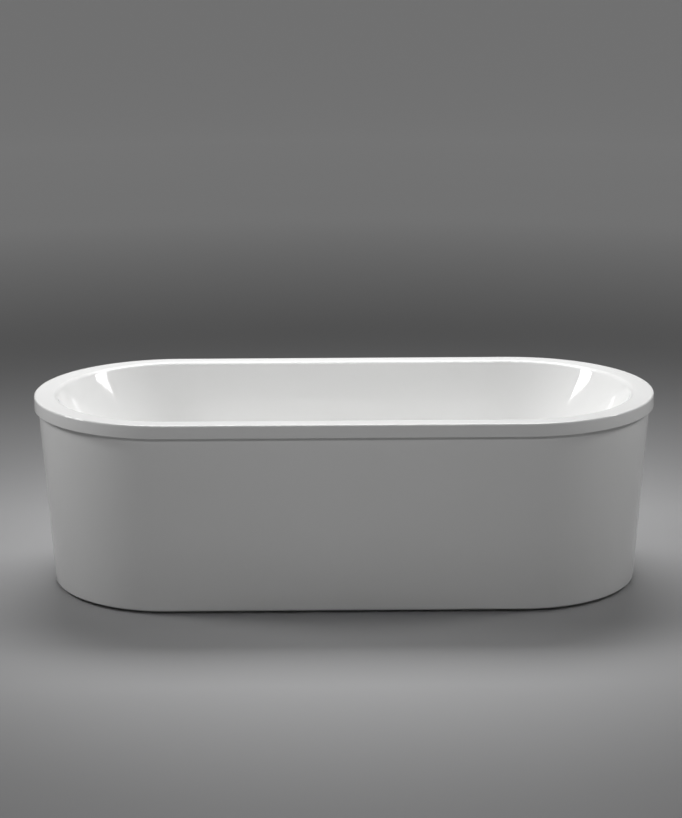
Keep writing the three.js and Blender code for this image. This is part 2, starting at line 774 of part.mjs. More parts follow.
function overflowBody() {
  const inner = overflowBodyRadius - overflowBodyWall;
  const floor = bodyBack + overflowBodyWall;
  const cup = turned([
    point(0, bodyBack),
    point(overflowBodyRadius, bodyBack),
    point(overflowBodyRadius, bodyFront - 3),
    point(faceplateRadius, bodyFront - 3),
    point(faceplateRadius, bodyFront),
    point(inner, bodyFront),
    point(inner, floor),
    point(0, floor),
  ]);
  const outlet = (tube) => tube.rotateX(-rightAngle).translate(0, 0, outletMiddle);
  const gland = bar(glandRadius, inner + 1, overflowBodyRadius + glandLength, smallSteps);
  const glandBore = bar(cableRadius + fitGap, inner - 6, overflowBodyRadius + 2 * glandLength, smallSteps);
  const glandAt = (tube) => tube.rotateX(-rightAngle).rotateZ(-rightAngle / 2).translate(0, 0, outletMiddle);
  return cut(
    join(cup, outlet(spigot(inner + 1, overflowOutletLength)), glandAt(gland)),
    outlet(spigotBore(inner - 6, overflowOutletLength + 1)),
    glandAt(glandBore),
  );
}

add("overflow_body", overflowBody(), blackPlastic, overflowPlace);

// ---------- hose and cable between the overflow and the waste ----------

// From a place in the overflow's own frame to the bath's frame.
const fromOverflow = (x, y, z) => new THREE.Vector3(x, y, z).applyMatrix4(overflowPlace.matrix);
const downWall = new THREE.Vector3(0, Math.sin(sideSlope), -Math.cos(sideSlope));

// Down the back of the wall, round under the basin with one even bend, and straight into the waste.
function hoseRoute() {
  const start = fromOverflow(0, overflowOutletLength + fitGap, outletMiddle);
  const finish = new THREE.Vector3(0, -bodySpigotEnd - fitGap, hoseZ);
  const corner = start.clone().addScaledVector(downWall, (start.z - hoseZ) / Math.cos(sideSlope));
  const bend = rightAngle - sideSlope;
  const setBack = hoseBend * Math.tan(bend / 2);
  const bendStart = corner.clone().addScaledVector(downWall, -setBack);
  const centre = new THREE.Vector3(0, corner.y + setBack, hoseZ + hoseBend);
  const route = [start, start.clone().lerp(bendStart, 0.33), start.clone().lerp(bendStart, 0.67)];
  for (let i = 0; i <= 5; i++) {
    const turn = Math.PI + sideSlope + (i / 5) * bend;
    route.push(new THREE.Vector3(0, centre.y + hoseBend * Math.cos(turn), centre.z + hoseBend * Math.sin(turn)));
  }
  const bendEnd = route.at(-1);
  route.push(bendEnd.clone().lerp(finish, 0.33), bendEnd.clone().lerp(finish, 0.67), finish);
  return new THREE.CatmullRomCurve3(route, false, "centripetal");
}

add("overflow_hose", pipe(hoseRoute(), hoseRadius, hoseRadius - hoseWall, 12, 18), greyPlastic);

const hoseNut = (low, high) => sleeve(hoseRadius + fitGap, hoseNutRadius, low, high);
add("hose_nut_upper", hoseNut(overflowOutletLength - hoseNutLength, overflowOutletLength - fitGap), blackPlastic, overflowPlace)
  .rotateX(-rightAngle)
  .position.z = outletMiddle;
const lowerNut = add("hose_nut_lower", hoseNut(bodySpigotEnd - hoseNutLength, bodySpigotEnd - fitGap), blackPlastic);
lowerNut.rotation.x = rightAngle;
lowerNut.position.z = hoseZ;

// The cable's sheath keeps beside the hose, then swings round to the gland on the waste's right side.
function cableRoute() {
  const glandZ = leverPivot.z - leverHorn;
  const reach = overflowBodyRadius + glandLength + fitGap;
  const slant = Math.SQRT1_2;
  const start = fromOverflow(reach * slant, reach * slant, outletMiddle);
  const leave = fromOverflow((reach + 14) * slant, (reach + 14) * slant, outletMiddle);
  const wallRun = (start.z - hoseZ) / Math.cos(sideSlope);
  const alongWall = (share) =>
    fromOverflow(cableOffset + 14, reach * slant + share * wallRun, outletMiddle + 4);
  const end = new THREE.Vector3(wasteBodyRadius + glandLength + fitGap, 0, glandZ);
  const middle = alongWall(0.62);
  const low = new THREE.Vector3(cableOffset + 14, middle.y + 45, hoseZ + 10);
  const route = [
    start,
    leave,
    alongWall(0.2),
    alongWall(0.42),
    middle,
    low,
    new THREE.Vector3(cableOffset + 22, -railY, Math.min(hoseZ + 2, boardLowZ - cableRadius - cableBoardGap)),
    new THREE.Vector3(cableOffset + 46, -railY / 2.6, glandZ + 3),
    new THREE.Vector3(cableOffset + 42, -8, glandZ + 0.5),
    new THREE.Vector3(end.x + 12, 0, glandZ),
    end,
  ];
  return new THREE.CatmullRomCurve3(route, false, "centripetal");
}

add("control_cable", pipe(cableRoute(), cableRadius, 0, 8, 44), blackPlastic);

// ---------- trap under the waste ----------

const slipNutTop = bodyLow - 4;
const slipNutLow = slipNutTop - slipNutHeight;
const trapTop = slipNutLow - fitGap;
const trapOutletRadius = outletPipeRadius + fitGap + trapOutletWall;
const trapOutletZ = trapTop - trapTopRoom - trapOutletRadius;
const trapLow = trapOutletZ - trapOutletRadius - trapSill;

add("trap_slip_nut", sleeve(tailRadius + fitGap, tailRadius + slipNutWall, slipNutLow, slipNutTop), blackPlastic);

function trapBody() {
  const inner = trapRadius - trapWall;
  const cup = turned([
    point(inner, trapLow),
    point(trapRadius, trapLow),
    point(trapRadius, trapTop),
    point(tailRadius + fitGap, trapTop),
    point(tailRadius + fitGap, trapTop - trapWall),
    point(inner, trapTop - trapWall),
  ]);
  const outward = (tube) => tube.rotateY(rightAngle).translate(0, 0, trapOutletZ);
  const outlet = outward(bar(trapOutletRadius, inner + 1, trapOutletReach, roundSteps));
  const bore = outward(bar(outletPipeRadius + fitGap, inner - 4, trapOutletReach + 1, roundSteps));
  return cut(join(cup, outlet), bore);
}

add("trap_body", trapBody(), greyPlastic);

const capTop = trapLow - fitGap;
add("trap_cleanout_cap", bar(trapRadius, capTop - capHeight, capTop), blackPlastic);

const outletNut = sleeve(trapOutletRadius + fitGap, trapOutletRadius + slipNutWall, trapOutletReach - 16, trapOutletReach - fitGap);
const nut = add("outlet_nut", outletNut, blackPlastic);
nut.rotation.y = rightAngle;
nut.position.z = trapOutletZ;

// The outlet runs level and then turns down to meet the waste pipe in the floor.
function outletPipe() {
  const start = new THREE.Vector3(trapOutletReach - 10, 0, trapOutletZ);
  const turnAt = trapOutletReach + outletRun;
  const route = new THREE.CurvePath();
  const bendPoints = Array.from({ length: 7 }, (_, i) => {
    const turn = (i / 6) * rightAngle;
    return new THREE.Vector3(turnAt + outletBend * Math.sin(turn), 0, trapOutletZ - outletBend * (1 - Math.cos(turn)));
  });
  const end = new THREE.Vector3(turnAt + outletBend, 0, outletEndZ);
  route.curves = [
    new THREE.CatmullRomCurve3([start, start.clone().lerp(bendPoints[0], 0.5), ...bendPoints, end], false, "centripetal"),
  ];
  return pipe(route.curves[0], outletPipeRadius, outletPipeRadius - outletPipeWall, 16, 9);
}

add("outlet_pipe", outletPipe(), greyPlastic);

export default bath;
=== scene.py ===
# Looks for the freestanding bath: acrylic shells, chrome waste and overflow, and the works under them
import json
import math

import bmesh
import bpy
import numpy as np
from mathutils import Matrix, Vector


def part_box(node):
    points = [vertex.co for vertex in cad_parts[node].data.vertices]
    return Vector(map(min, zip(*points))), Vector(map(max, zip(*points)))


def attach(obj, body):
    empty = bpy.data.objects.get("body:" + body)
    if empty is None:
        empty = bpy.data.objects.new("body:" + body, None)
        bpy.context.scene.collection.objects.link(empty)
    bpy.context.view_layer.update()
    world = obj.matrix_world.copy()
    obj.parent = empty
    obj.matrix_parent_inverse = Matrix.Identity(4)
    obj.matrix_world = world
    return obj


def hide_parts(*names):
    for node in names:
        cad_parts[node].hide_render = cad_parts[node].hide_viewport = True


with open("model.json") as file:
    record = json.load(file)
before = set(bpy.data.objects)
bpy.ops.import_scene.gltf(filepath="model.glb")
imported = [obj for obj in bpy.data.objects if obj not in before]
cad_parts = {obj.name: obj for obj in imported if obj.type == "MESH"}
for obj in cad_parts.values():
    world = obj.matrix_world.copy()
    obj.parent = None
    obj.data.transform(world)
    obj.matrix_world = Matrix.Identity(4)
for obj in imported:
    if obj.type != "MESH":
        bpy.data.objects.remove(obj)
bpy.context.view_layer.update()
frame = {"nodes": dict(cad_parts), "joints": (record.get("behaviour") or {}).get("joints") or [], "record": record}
nodes = frame["nodes"]
slotOf = {part["node"]: part["material_slot"] for part in frame["record"]["subparts"]}
tau = 2 * math.pi
right = math.pi / 2
fit = 0.0003  # between pieces that slide together
print("frame loaded:", len(nodes), "nodes")


# Surfaces: a shape is a grid of points, row by row, each row an open line or a closed ring.


def gridFaces(rows, columns, wrapRows=False, wrapColumns=False):
    # each face joins a row and a column to the next ones; wrapping joins the last back to the first
    i = np.arange(rows if wrapRows else rows - 1)[:, None]
    j = np.arange(columns if wrapColumns else columns - 1)[None, :]
    k, m = (i + 1) % rows, (j + 1) % columns
    corners = (i * columns + j, i * columns + m, k * columns + m, k * columns + j)
    return np.stack(np.broadcast_arrays(*corners), -1).reshape(-1, 4)


class Surface:
    # points and faces that grow as shapes are added to them
    def __init__(self):
        self.points, self.faces, self.count = [], [], 0

    def add(self, points, faces):
        # faces that point inwards are turned: the corner products sum to six times the volume
        points = np.asarray(points, float).reshape(-1, 3)
        middle = points - points.mean(0)
        tris = np.concatenate([f[:, [0, k, k + 1]] for f in faces for k in range(1, f.shape[1] - 1)])
        a, b, c = (middle[tris[:, k]] for k in range(3))
        inward = np.einsum("ij,ij->i", a, np.cross(b, c)).sum() < 0
        self.points.append(points)
        self.faces += [(f[:, ::-1] if inward else f) + self.count for f in faces]
        self.count += len(points)
        return self

    def rings(self, rows, looped=False, poles=None):
        # rings joined in order; looped joins the last to the first, and poles close the ends with fans
        count, around = rows.shape[:2]
        points = rows.reshape(-1, 3)
        faces = [gridFaces(count, around, looped, True)]
        j = np.arange(around)
        last = (count - 1) * around
        if poles is not None:
            points = np.concatenate([points, np.asarray(poles, float)])
            k = (j + 1) % around
            faces.append(np.stack([np.full(around, count * around), k, j], -1))
            faces.append(np.stack([np.full(around, count * around + 1), last + j, last + k], -1))
        elif not looped:
            faces += [j[::-1][None], last + j[None]]
        return self.add(points, faces)

    def placed(self, matrix):
        turn, move = np.array(matrix.to_3x3()), np.array(matrix.translation)
        made = Surface()
        made.points = [p @ turn.T + move for p in self.points]
        made.faces, made.count = list(self.faces), self.count
        return made

    def mesh(self, name):
        mesh = bpy.data.meshes.new(name)
        faces = [face for part in self.faces for face in part.tolist()]
        mesh.from_pydata(np.concatenate(self.points), [], faces)
        mesh.validate()
        return mesh


weldGap = 4e-6  # points nearer than this along a cut are one


def carved(shape, name, joins=(), cuts=()):
    # joins and cuts made one after another, and kept
    link = bpy.context.scene.collection.objects.link
    whole = bpy.data.objects.new(name, shape.mesh(name))
    link(whole)
    tools = []
    for operation, parts in (("UNION", joins), ("DIFFERENCE", cuts)):
        for part in parts:
            tool = bpy.data.objects.new("tool", part.mesh("tool"))
            link(tool)
            tools.append(tool)
            step = whole.modifiers.new("step", "BOOLEAN")
            step.object, step.operation, step.solver = tool, operation, "EXACT"
    bpy.context.view_layer.update()
    mesh = bpy.data.meshes.new_from_object(whole.evaluated_get(bpy.context.evaluated_depsgraph_get()))
    for used in [whole, *tools]:
        bpy.data.objects.remove(used)
    welded = bmesh.new()
    welded.from_mesh(mesh)
    bmesh.ops.remove_doubles(welded, verts=welded.verts, dist=weldGap)
    bmesh.ops.dissolve_degenerate(welded, edges=welded.edges, dist=weldGap)
    bmesh.ops.holes_fill(welded, edges=[edge for edge in welded.edges if edge.is_boundary], sides=0)
    welded.to_mesh(mesh)
    welded.free()
    return mesh


def stand(node, shape, body="bath", look=None, sharp=38, joins=(), cuts=()):
    # a piece that stands for one CAD node, in its finish, named as the node is and riding on its body
    first, *others = node.split("_")
    name = first + "".join(word.title() for word in others)
    mesh = carved(shape, name, joins, cuts) if joins or cuts else shape.mesh(name)
    mesh.materials.clear()
    mesh.materials.append(look or looks[slotOf[node]])
    mesh.shade_smooth()
    mesh.set_sharp_from_angle(angle=math.radians(sharp))
    made = bpy.data.objects.new(name, mesh)
    bpy.context.scene.collection.objects.link(made)
    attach(made, body)
    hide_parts(node)


def at(x=0.0, y=0.0, z=0.0):
    return Matrix.Translation((x, y, z))


def heights(node):
    # a node's lowest and highest Z
    return [corner.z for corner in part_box(node)]


def eased(corners, radii, steps=5, closed=True):
    # each corner gives way to a quadratic curve that starts and ends a radius along its two edges
    p = np.asarray(corners, float)
    r = np.broadcast_to(np.asarray(radii, float), len(p))[:, None]
    before, after = np.roll(p, 1, 0) - p, np.roll(p, -1, 0) - p
    long = [np.maximum(np.linalg.norm(v, axis=1, keepdims=True), 1e-9) for v in (before, after)]
    a = p + before / long[0] * np.minimum(r, 0.45 * long[0])
    b = p + after / long[1] * np.minimum(r, 0.45 * long[1])
    if not closed:
        a[0], b[0], a[-1], b[-1] = p[0], p[0], p[-1], p[-1]
    t = np.linspace(0, 1, steps)[None, :, None]
    curve = a[:, None] * (1 - t) ** 2 + 2 * p[:, None] * t * (1 - t) + b[:, None] * t**2
    flat = curve.reshape(-1, p.shape[1])
    return flat[np.r_[True, np.linalg.norm(np.diff(flat, axis=0), axis=1) > 1e-7]]


def turned(profile, steps=64, waist=None):
    # a profile of radius and height turned about Z; waist(radius, height, angle) gives the radius anew
    turn = np.arange(steps)[None, :] / steps * tau
    onAxis = profile[0, 0] < 1e-7
    body = profile[1:-1] if onAxis else profile
    r, z = body[:, :1], body[:, 1:]
    radius = np.broadcast_to(waist(r, z, turn) if waist else r, (len(r), steps))
    rows = np.stack([radius * np.cos(turn), radius * np.sin(turn), np.broadcast_to(z, radius.shape)], -1)
    poles = [[0, 0, profile[0, 1]], [0, 0, profile[-1, 1]]] if onAxis else None
    return Surface().rings(rows, not onAxis, poles)


def lathed(corners, arc=5, steps=64, closed=True, waist=None):
    # corners of radius, height and easing, turned about Z
    corners = np.asarray(corners, float)
    return turned(eased(corners[:, :2], corners[:, 2], arc, closed), steps, waist)


def bar(radius, low, high, edge=0.0004, steps=48):
    corners = [(0, low, 0), (radius, low, edge), (radius, high, edge), (0, high, 0)]
    return lathed(corners, 4, steps, closed=False)


def sleeve(inner, outer, low, high, edge=0.0005, steps=80):
    # a ring or tube with softened edges
    return turned(eased([(inner, low), (outer, low), (outer, high), (inner, high)], edge), steps)


def prism(section, low, high):
    # a flat outline of X and Y carried up from one height to another
    rows = np.stack([np.column_stack([section, np.full(len(section), z)]) for z in (low, high)])
    return Surface().rings(rows)


def block(low, high, edge=0.0):
    corners = [(low[0], low[1]), (high[0], low[1]), (high[0], high[1]), (low[0], high[1])]
    return prism(eased(corners, edge, 5) if edge else np.array(corners), low[2], high[2])


def swept(path, radius, sides=32, inner=None, ref=(1, 0, 0)):
    # rings square to the path: centre plus radius times a turn between two directions across it
    along = np.gradient(path, axis=0)
    along /= np.linalg.norm(along, axis=1, keepdims=True)
    across = np.cross(along, ref)
    across /= np.linalg.norm(across, axis=1, keepdims=True)
    other = np.cross(along, across)
    turn = np.arange(sides)[None, :, None] / sides * tau
    ring = across[:, None] * np.cos(turn) + other[:, None] * np.sin(turn)
    outer = path[:, None] + np.broadcast_to(radius, len(path))[:, None, None] * ring
    if inner is None:
        return Surface().rings(outer, False, [path[0], path[-1]])
    return Surface().rings(np.concatenate([outer, (path[:, None] + inner * ring)[::-1]]), True)


def smoothRoute(points, steps):
    # a curve through the points, each stretch timed by the square root of its length
    p = np.array([2 * points[0] - points[1], *points, 2 * points[-1] - points[-2]])
    gap = np.linalg.norm(np.diff(p, axis=0), axis=1) ** 0.5
    g0, g1, g2 = gap[:-2, None, None], gap[1:-1, None, None], gap[2:, None, None]
    p0, p1, p2, p3 = (p[k : len(p) - 3 + k, None] for k in range(4))
    m1 = (p1 - p0) / g0 * g1 - (p2 - p0) / (g0 + g1) * g1 + (p2 - p1)
    m2 = (p2 - p1) - (p3 - p1) / (g1 + g2) * g1 + (p3 - p2) / g2 * g1
    t = np.linspace(0, 1, steps, endpoint=False)[None, :, None]
    h = (2 * p1 - 2 * p2 + m1 + m2) * t**3 + (-3 * p1 + 3 * p2 - 2 * m1 - m2) * t**2 + m1 * t + p1
    return np.vstack([h.reshape(-1, 3), points[-1]])


def spokes(halfWidth, inner, outer, low, high, edge=0.0006):
    # four bars from a hub to a ring
    section = eased([(-halfWidth, low), (halfWidth, low), (halfWidth, high), (-halfWidth, high)], edge)
    rows = np.stack([np.column_stack([np.full(len(section), x), section]) for x in (inner, outer)])
    one = Surface().rings(rows)
    return [one.placed(Matrix.Rotation(k * right, 4, "Z")) for k in range(4)]


# Shader maths: a Value is one output of a node tree, and + - * / on it add Math nodes.


class Value:
    def __init__(self, look, socket):
        self.look, self.socket = look, socket

    def maths(self, operation, a, b):
        return self.look.node("ShaderNodeMath", {"operation": operation}, {0: a, 1: b})

    def __add__(self, other):
        return self.maths("ADD", self, other)

    def __radd__(self, other):
        return self.maths("ADD", other, self)

    def __rsub__(self, other):
        return self.maths("SUBTRACT", other, self)

    def __mul__(self, other):
        return self.maths("MULTIPLY", self, other)

    def __truediv__(self, other):
        return self.maths("DIVIDE", self, other)


class Look:
    # one material: a Principled shader and the few ways its inputs are fed
    def __init__(self, name, **sockets):
        self.material = bpy.data.materials.new(name)
        self.material.use_nodes = True
        self.tree = self.material.node_tree
        self.shader = self.tree.nodes["Principled BSDF"]
        self.set(**sockets)
        self.place = self.node("ShaderNodeTexCoord", output="Object")

    def set(self, **sockets):
        for name, value in sockets.items():
            self.feed(self.shader.inputs[name.replace("_", " ").title().replace("Ior", "IOR")], value)

    def feed(self, socket, value):
        if isinstance(value, Value):
            self.tree.links.new(value.socket, socket)
        elif isinstance(value, tuple) and len(value) == 3 and socket.type == "RGBA":
            socket.default_value = (*value, 1)
        else:
            socket.default_value = value

    def node(self, kind, settings=None, inputs=None, output=0):
        made = self.tree.nodes.new(kind)
        for name, value in (settings or {}).items():
            if name == "stops":
                ramp = made.color_ramp.elements
                while len(ramp) < len(value):
                    ramp.new(0.5)
                for stop, (where, shade) in zip(ramp, value):
                    stop.position, stop.color = where, (shade, shade, shade, 1)
            else:
                setattr(made, name, value)
        for name, value in (inputs or {}).items():
            self.feed(made.inputs[name], value)
        return Value(self, made.outputs[output])

    def noise(self, scale, detail=2.0, rough=0.5, place=None):
        inputs = {"Vector": place or self.place, "Scale": scale, "Detail": detail, "Roughness": rough}
        return self.node("ShaderNodeTexNoise", {}, inputs)

    def cells(self, scale, feature="F1", output="Distance", place=None):
        inputs = {"Vector": place or self.place, "Scale": scale}
        return self.node("ShaderNodeTexVoronoi", {"feature": feature}, inputs, output)

    def cellShade(self, scale, place=None):
        colour = self.cells(scale, "F1", "Color", place)
        return self.node("ShaderNodeSeparateColor", {}, {"Color": colour}, "Red")

    def ramp(self, value, *stops):
        return self.node("ShaderNodeValToRGB", {"stops": stops}, {"Fac": value})

    def mix(self, share, a, b):
        return self.node("ShaderNodeMix", {"data_type": "RGBA"}, {0: share, 6: a, 7: b}, 2)

    def bump(self, height, distance=1.0):
        return self.node("ShaderNodeBump", {}, {"Height": height, "Distance": distance})

    def stretched(self, x, y, z):
        return self.node("ShaderNodeMapping", {}, {"Vector": self.place, "Scale": (x, y, z)})


# Finishes

acrylicLook = {
    "white": (0.82, 0.82, 0.815),
    "warmer": (0.79, 0.79, 0.78),
    "gloss": 0.03,
    "wipeMarks": 0.05,
    "shellWave": 0.0012,
    "skirtWave": 0.0024,
    "streaks": 0.00007,
}


def acrylic(name, waviness, streaks):
    # gloss sheet acrylic: a slow wave from the mould, upright streaks, faint wipe marks and dried drops
    look = Look(name, ior=1.5)
    slow = look.noise(3.4, 1.0, 0.4)
    streak = look.noise(1.0, 2.0, 0.5, look.stretched(95, 95, 17))
    wipe = look.ramp(look.noise(1.0, 4.0, 0.62, look.stretched(9, 22, 30)), (0.42, 0.0), (0.72, 1.0))
    fine = look.noise(160.0, 2.0, 0.5)
    drops = look.ramp(look.cells(38.0), (0.0, 1.0), (0.05, 0.75), (0.075, 0.0))
    marks = drops * look.ramp(look.noise(5.0, 2.0), (0.56, 0.0), (0.7, 1.0))
    cloud = look.ramp(look.noise(2.2, 3.0), (0.35, 0.0), (0.75, 1.0))
    look.set(
        base_color=look.mix(cloud * 0.55 + marks * 0.25, acrylicLook["white"], acrylicLook["warmer"]),
        roughness=acrylicLook["gloss"] + wipe * acrylicLook["wipeMarks"] + marks * 0.16 + fine * 0.015,
        normal=look.bump(slow * waviness + streak * streaks),
    )
    return look.material


def chrome():
    # bright plate with faint rub marks and small lime spots
    look = Look("brightChrome", metallic=1.0, ior=1.5)
    rub = look.ramp(look.noise(1.0, 5.0, 0.6, look.stretched(60, 60, 420)), (0.4, 0.0), (0.8, 1.0))
    patches = look.ramp(look.noise(45.0), (0.5, 0.0), (0.66, 1.0))
    lime = look.ramp(look.cells(210.0), (0.0, 1.0), (0.09, 0.6), (0.14, 0.0)) * patches
    look.set(
        base_color=look.mix(rub * 0.35 + lime * 0.5, (0.83, 0.835, 0.845), (0.7, 0.7, 0.69)),
        roughness=0.045 + rub * 0.07 + lime * 0.3,
        normal=look.bump(look.noise(55.0, 1.0), 0.00006),
    )
    return look.material


def zincPlate():
    # galvanised steel: a spangle of flat grains, each with its own shade, dulled in patches
    look = Look("zincSteel", metallic=1.0, ior=1.5)
    grain = look.cellShade(170.0)
    dull = look.ramp(look.noise(26.0, 4.0, 0.6), (0.42, 0.0), (0.7, 1.0))
    look.set(
        base_color=look.mix(grain * 0.6 + dull * 0.35, (0.62, 0.64, 0.66), (0.38, 0.39, 0.41)),
        roughness=0.3 + grain * 0.16 + dull * 0.2,
        normal=look.bump(grain + look.noise(420.0, 2.0) * 0.5, 0.00004),
    )
    return look.material


def moulded(name, light, dark, gloss, grainScale):
    # moulded plastic: a fine eroded grain, slow flow shading and rubbed spots
    look = Look(name, ior=1.5)
    grain = look.noise(grainScale, 2.0, 0.6)
    flow = look.ramp(look.noise(1.0, 3.0, 0.5, look.stretched(14, 14, 46)), (0.35, 0.0), (0.7, 1.0))
    look.set(
        base_color=look.mix(flow * 0.7 + grain * 0.25, light, dark),
        roughness=gloss + flow * 0.1 + grain * 0.08,
        normal=look.bump(grain, 0.00005),
    )
    return look.material


def rubber():
    # black rubber with a grey bloom
    look = Look("blackRubber", ior=1.5)
    bloom = look.ramp(look.noise(38.0, 4.0, 0.65), (0.48, 0.0), (0.72, 1.0))
    look.set(
        base_color=look.mix(bloom * 0.6, (0.018, 0.018, 0.019), (0.06, 0.06, 0.062)),
        roughness=0.68 + bloom * 0.2,
        normal=look.bump(look.noise(700.0, 2.0), 0.00005),
    )
    return look.material


def foam():
    # closed-cell foam: small round cells cut open at the surface
    look = Look("greyFoam", ior=1.45)
    cell = look.cells(480.0)
    look.set(
        base_color=look.mix(cell, (0.07, 0.07, 0.075), (0.17, 0.17, 0.18)),
        roughness=0.9 + look.noise(60.0) * 0.08,
        normal=look.bump(cell, 0.0004),
    )
    return look.material


def chipboard():
    # pressed chips of several browns under a thin resin coat
    look = Look("resinBoard", ior=1.5, coat_roughness=0.3)
    flat = look.stretched(1, 1, 2.4)
    flake = look.cellShade(150.0, flat)
    edge = look.ramp(look.cells(150.0, "DISTANCE_TO_EDGE", "Distance", flat), (0.0, 0.0), (0.08, 1.0))
    coat = look.ramp(look.noise(9.0, 3.0), (0.4, 0.0), (0.65, 1.0))
    look.set(
        base_color=look.mix(flake * 0.8 + (1 - edge) * 0.2, (0.52, 0.37, 0.21), (0.3, 0.19, 0.1)),
        roughness=0.66 - coat * 0.2 + flake * 0.1,
        coat_weight=coat * 0.4,
        normal=look.bump(edge + flake * 0.5, 0.00018),
    )
    return look.material


shellAcrylic = acrylic("shellAcrylic", acrylicLook["shellWave"], acrylicLook["streaks"] * 0.3)
skirtAcrylic = acrylic("skirtAcrylic", acrylicLook["skirtWave"], acrylicLook["streaks"])
looks = {
    "white_acrylic": shellAcrylic,
    "bright_chrome": chrome(),
    "zinc_steel": zincPlate(),
    "black_plastic": moulded("blackPlastic", (0.022, 0.022, 0.024), (0.045, 0.045, 0.048), 0.42, 900.0),
    "grey_plastic": moulded("greyPlastic", (0.6, 0.61, 0.62), (0.5, 0.51, 0.52), 0.36, 700.0),
    "black_rubber": rubber(),
    "grey_foam": foam(),
    "resin_board": chipboard(),
}
for nodeName, node in nodes.items():
    node.data.materials.clear()
    node.data.materials.append(looks[slotOf[nodeName]])
print("finishes made")

# The shell, its rim and its basin

shell = {
    "wall": 0.007,
    "lip": 0.038,
    "lipDraft": 0.001,
    "lipRound": 0.0016,
    "outerRound": 0.004,
    "rimSide": 0.041,
    "rimEnd": 0.051,
    "sideEdge": 0.009,
    "endEdge": 0.016,
    "sideSlope": math.radians(12),
    "endSlope": math.radians(26),
    "sideCove": 0.07,
    "endCove": 0.13,
    "floor": 0.146,
    "drain": 0.142,
    "holeRadius": 0.026,
    "overflowHole": 0.026,
    "holeReach": 0.03,
    "raySpread": 2.2,
    "floorEase": 1.15,
    "arcSteps": 97,
    "sideSteps": 44,
}
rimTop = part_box("bath_shell")[1].z
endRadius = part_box("bath_shell")[1].y
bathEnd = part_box("bath_shell")[1].x
rimStraight = bathEnd - endRadius


def pill(half, straight, sideZ, endZ):
    # half circles joined by straights. Each row has its own half width, straight length and heights; the
    # height runs from the side's to the end's with the square of the arc's cosine
    turn = np.linspace(-right, right, shell["arcSteps"])
    along, across = np.cos(turn), np.sin(turn)
    run = np.linspace(1, -1, shell["sideSteps"] + 2)[1:-1]
    none, one = np.zeros(len(run)), np.ones(len(run))
    share = np.concatenate([along, none, along, none])
    x = np.concatenate([along, none, -along, none])
    y = np.concatenate([across, one, -across, -one])
    shift = np.concatenate([np.ones(len(turn)), run, -np.ones(len(turn)), -run])
    perRow = [np.broadcast_to(np.asarray(v, float), len(half)) for v in (half, straight, sideZ, endZ)]
    h, s, zs, ze = (v[:, None] for v in perRow)
    return np.stack([s * shift + h * x, h * y, zs + (ze - zs) * share**2], -1)


def hoop(section):
    return pill(section[:, 0], rimStraight, section[:, 1], section[:, 1])


def basinSide(flatEnd, edgeRadius, slope, cove, depth):
    # an arc over the rim's edge, a straight slope and an arc into the floor, set back by depth
    wall = np.array([math.cos(slope), -math.sin(slope)])
    down = np.array([-math.sin(slope), -math.cos(slope)])
    edge = np.array([flatEnd, rimTop - edgeRadius])
    wallTop = edge - wall * edgeRadius
    length = (wallTop[1] + cove * math.sin(slope) - shell["floor"] - cove) / math.cos(slope)
    centre = wallTop + down * length - wall * cove
    over = np.linspace(0, right - slope, 13)[:, None]
    under = np.linspace(slope, right, 18)[:, None]
    fall = np.linspace(0, 1, 16)[1:-1, None]
    edgeArc = edge + (edgeRadius - depth) * np.hstack([-np.sin(over), np.cos(over)])
    coveArc = centre + (cove + depth) * np.hstack([np.cos(under), -np.sin(under)])
    return np.vstack([edgeArc, edgeArc[-1] * (1 - fall) + coveArc[0] * fall, coveArc])


rimFlatSide = endRadius - shell["outerRound"] - shell["rimSide"]
rimFlatEnd = bathEnd - shell["outerRound"] - shell["rimEnd"]


def basinRows(depth):
    side = basinSide(rimFlatSide, shell["sideEdge"], shell["sideSlope"], shell["sideCove"], depth)
    end = basinSide(rimFlatEnd, shell["endEdge"], shell["endSlope"], shell["endCove"], depth)
    return pill(side[:, 0], end[:, 0] - side[:, 0], side[:, 1], end[:, 1])


def floorRows(rim, low, rings=16):
    # rings blended from the cove's foot to the round drain hole, dishing over the inner half
    turn = np.arctan2(rim[:, 1] * shell["raySpread"], rim[:, 0])
    hole = shell["holeRadius"] * np.stack([np.cos(turn), np.sin(turn), 0 * turn], -1)
    t = np.linspace(0, 1, rings + 1)[1:, None, None]
    ease = 1 - (1 - t) ** shell["floorEase"]
    rows = rim[None] * (1 - ease) + hole[None] * ease
    dish = np.clip(t[..., 0] * 2 - 1, 0, 1)
    dish = dish * dish * (3 - 2 * dish)
    rows[..., 2] = rim[:, 2] * (1 - dish) + low * dish
    return rows


def shellRows():
    lipLow, half, wall = rimTop - shell["lip"], endRadius, shell["wall"]
    lipTop = half - shell["lipDraft"]
    corners = [(half - wall, lipLow), (half, lipLow), (lipTop, rimTop), (rimFlatSide, rimTop)]
    lip = eased(corners, [0, shell["lipRound"], shell["outerRound"] * 1.5, 0], 9, closed=False)[:-1]
    # the flat is narrower at the sides, so it is spanned from the lip's outline to the basin's
    inside = basinRows(0)
    lipRows = hoop(lip)
    t = np.linspace(0, 1, 8)[1:-1, None, None]
    flat = lipRows[-1][None] * (1 - t) + inside[0][None] * t
    under = basinRows(wall)
    back = hoop(np.array([(lipTop - wall, rimTop - wall), (half - wall, lipLow + 0.0004)]))
    floor = floorRows(inside[-1], shell["drain"])
    underFloor = floorRows(under[-1], shell["drain"] - wall)
    return np.concatenate([lipRows, flat, inside, floor, underFloor[::-1], under[::-1], back])


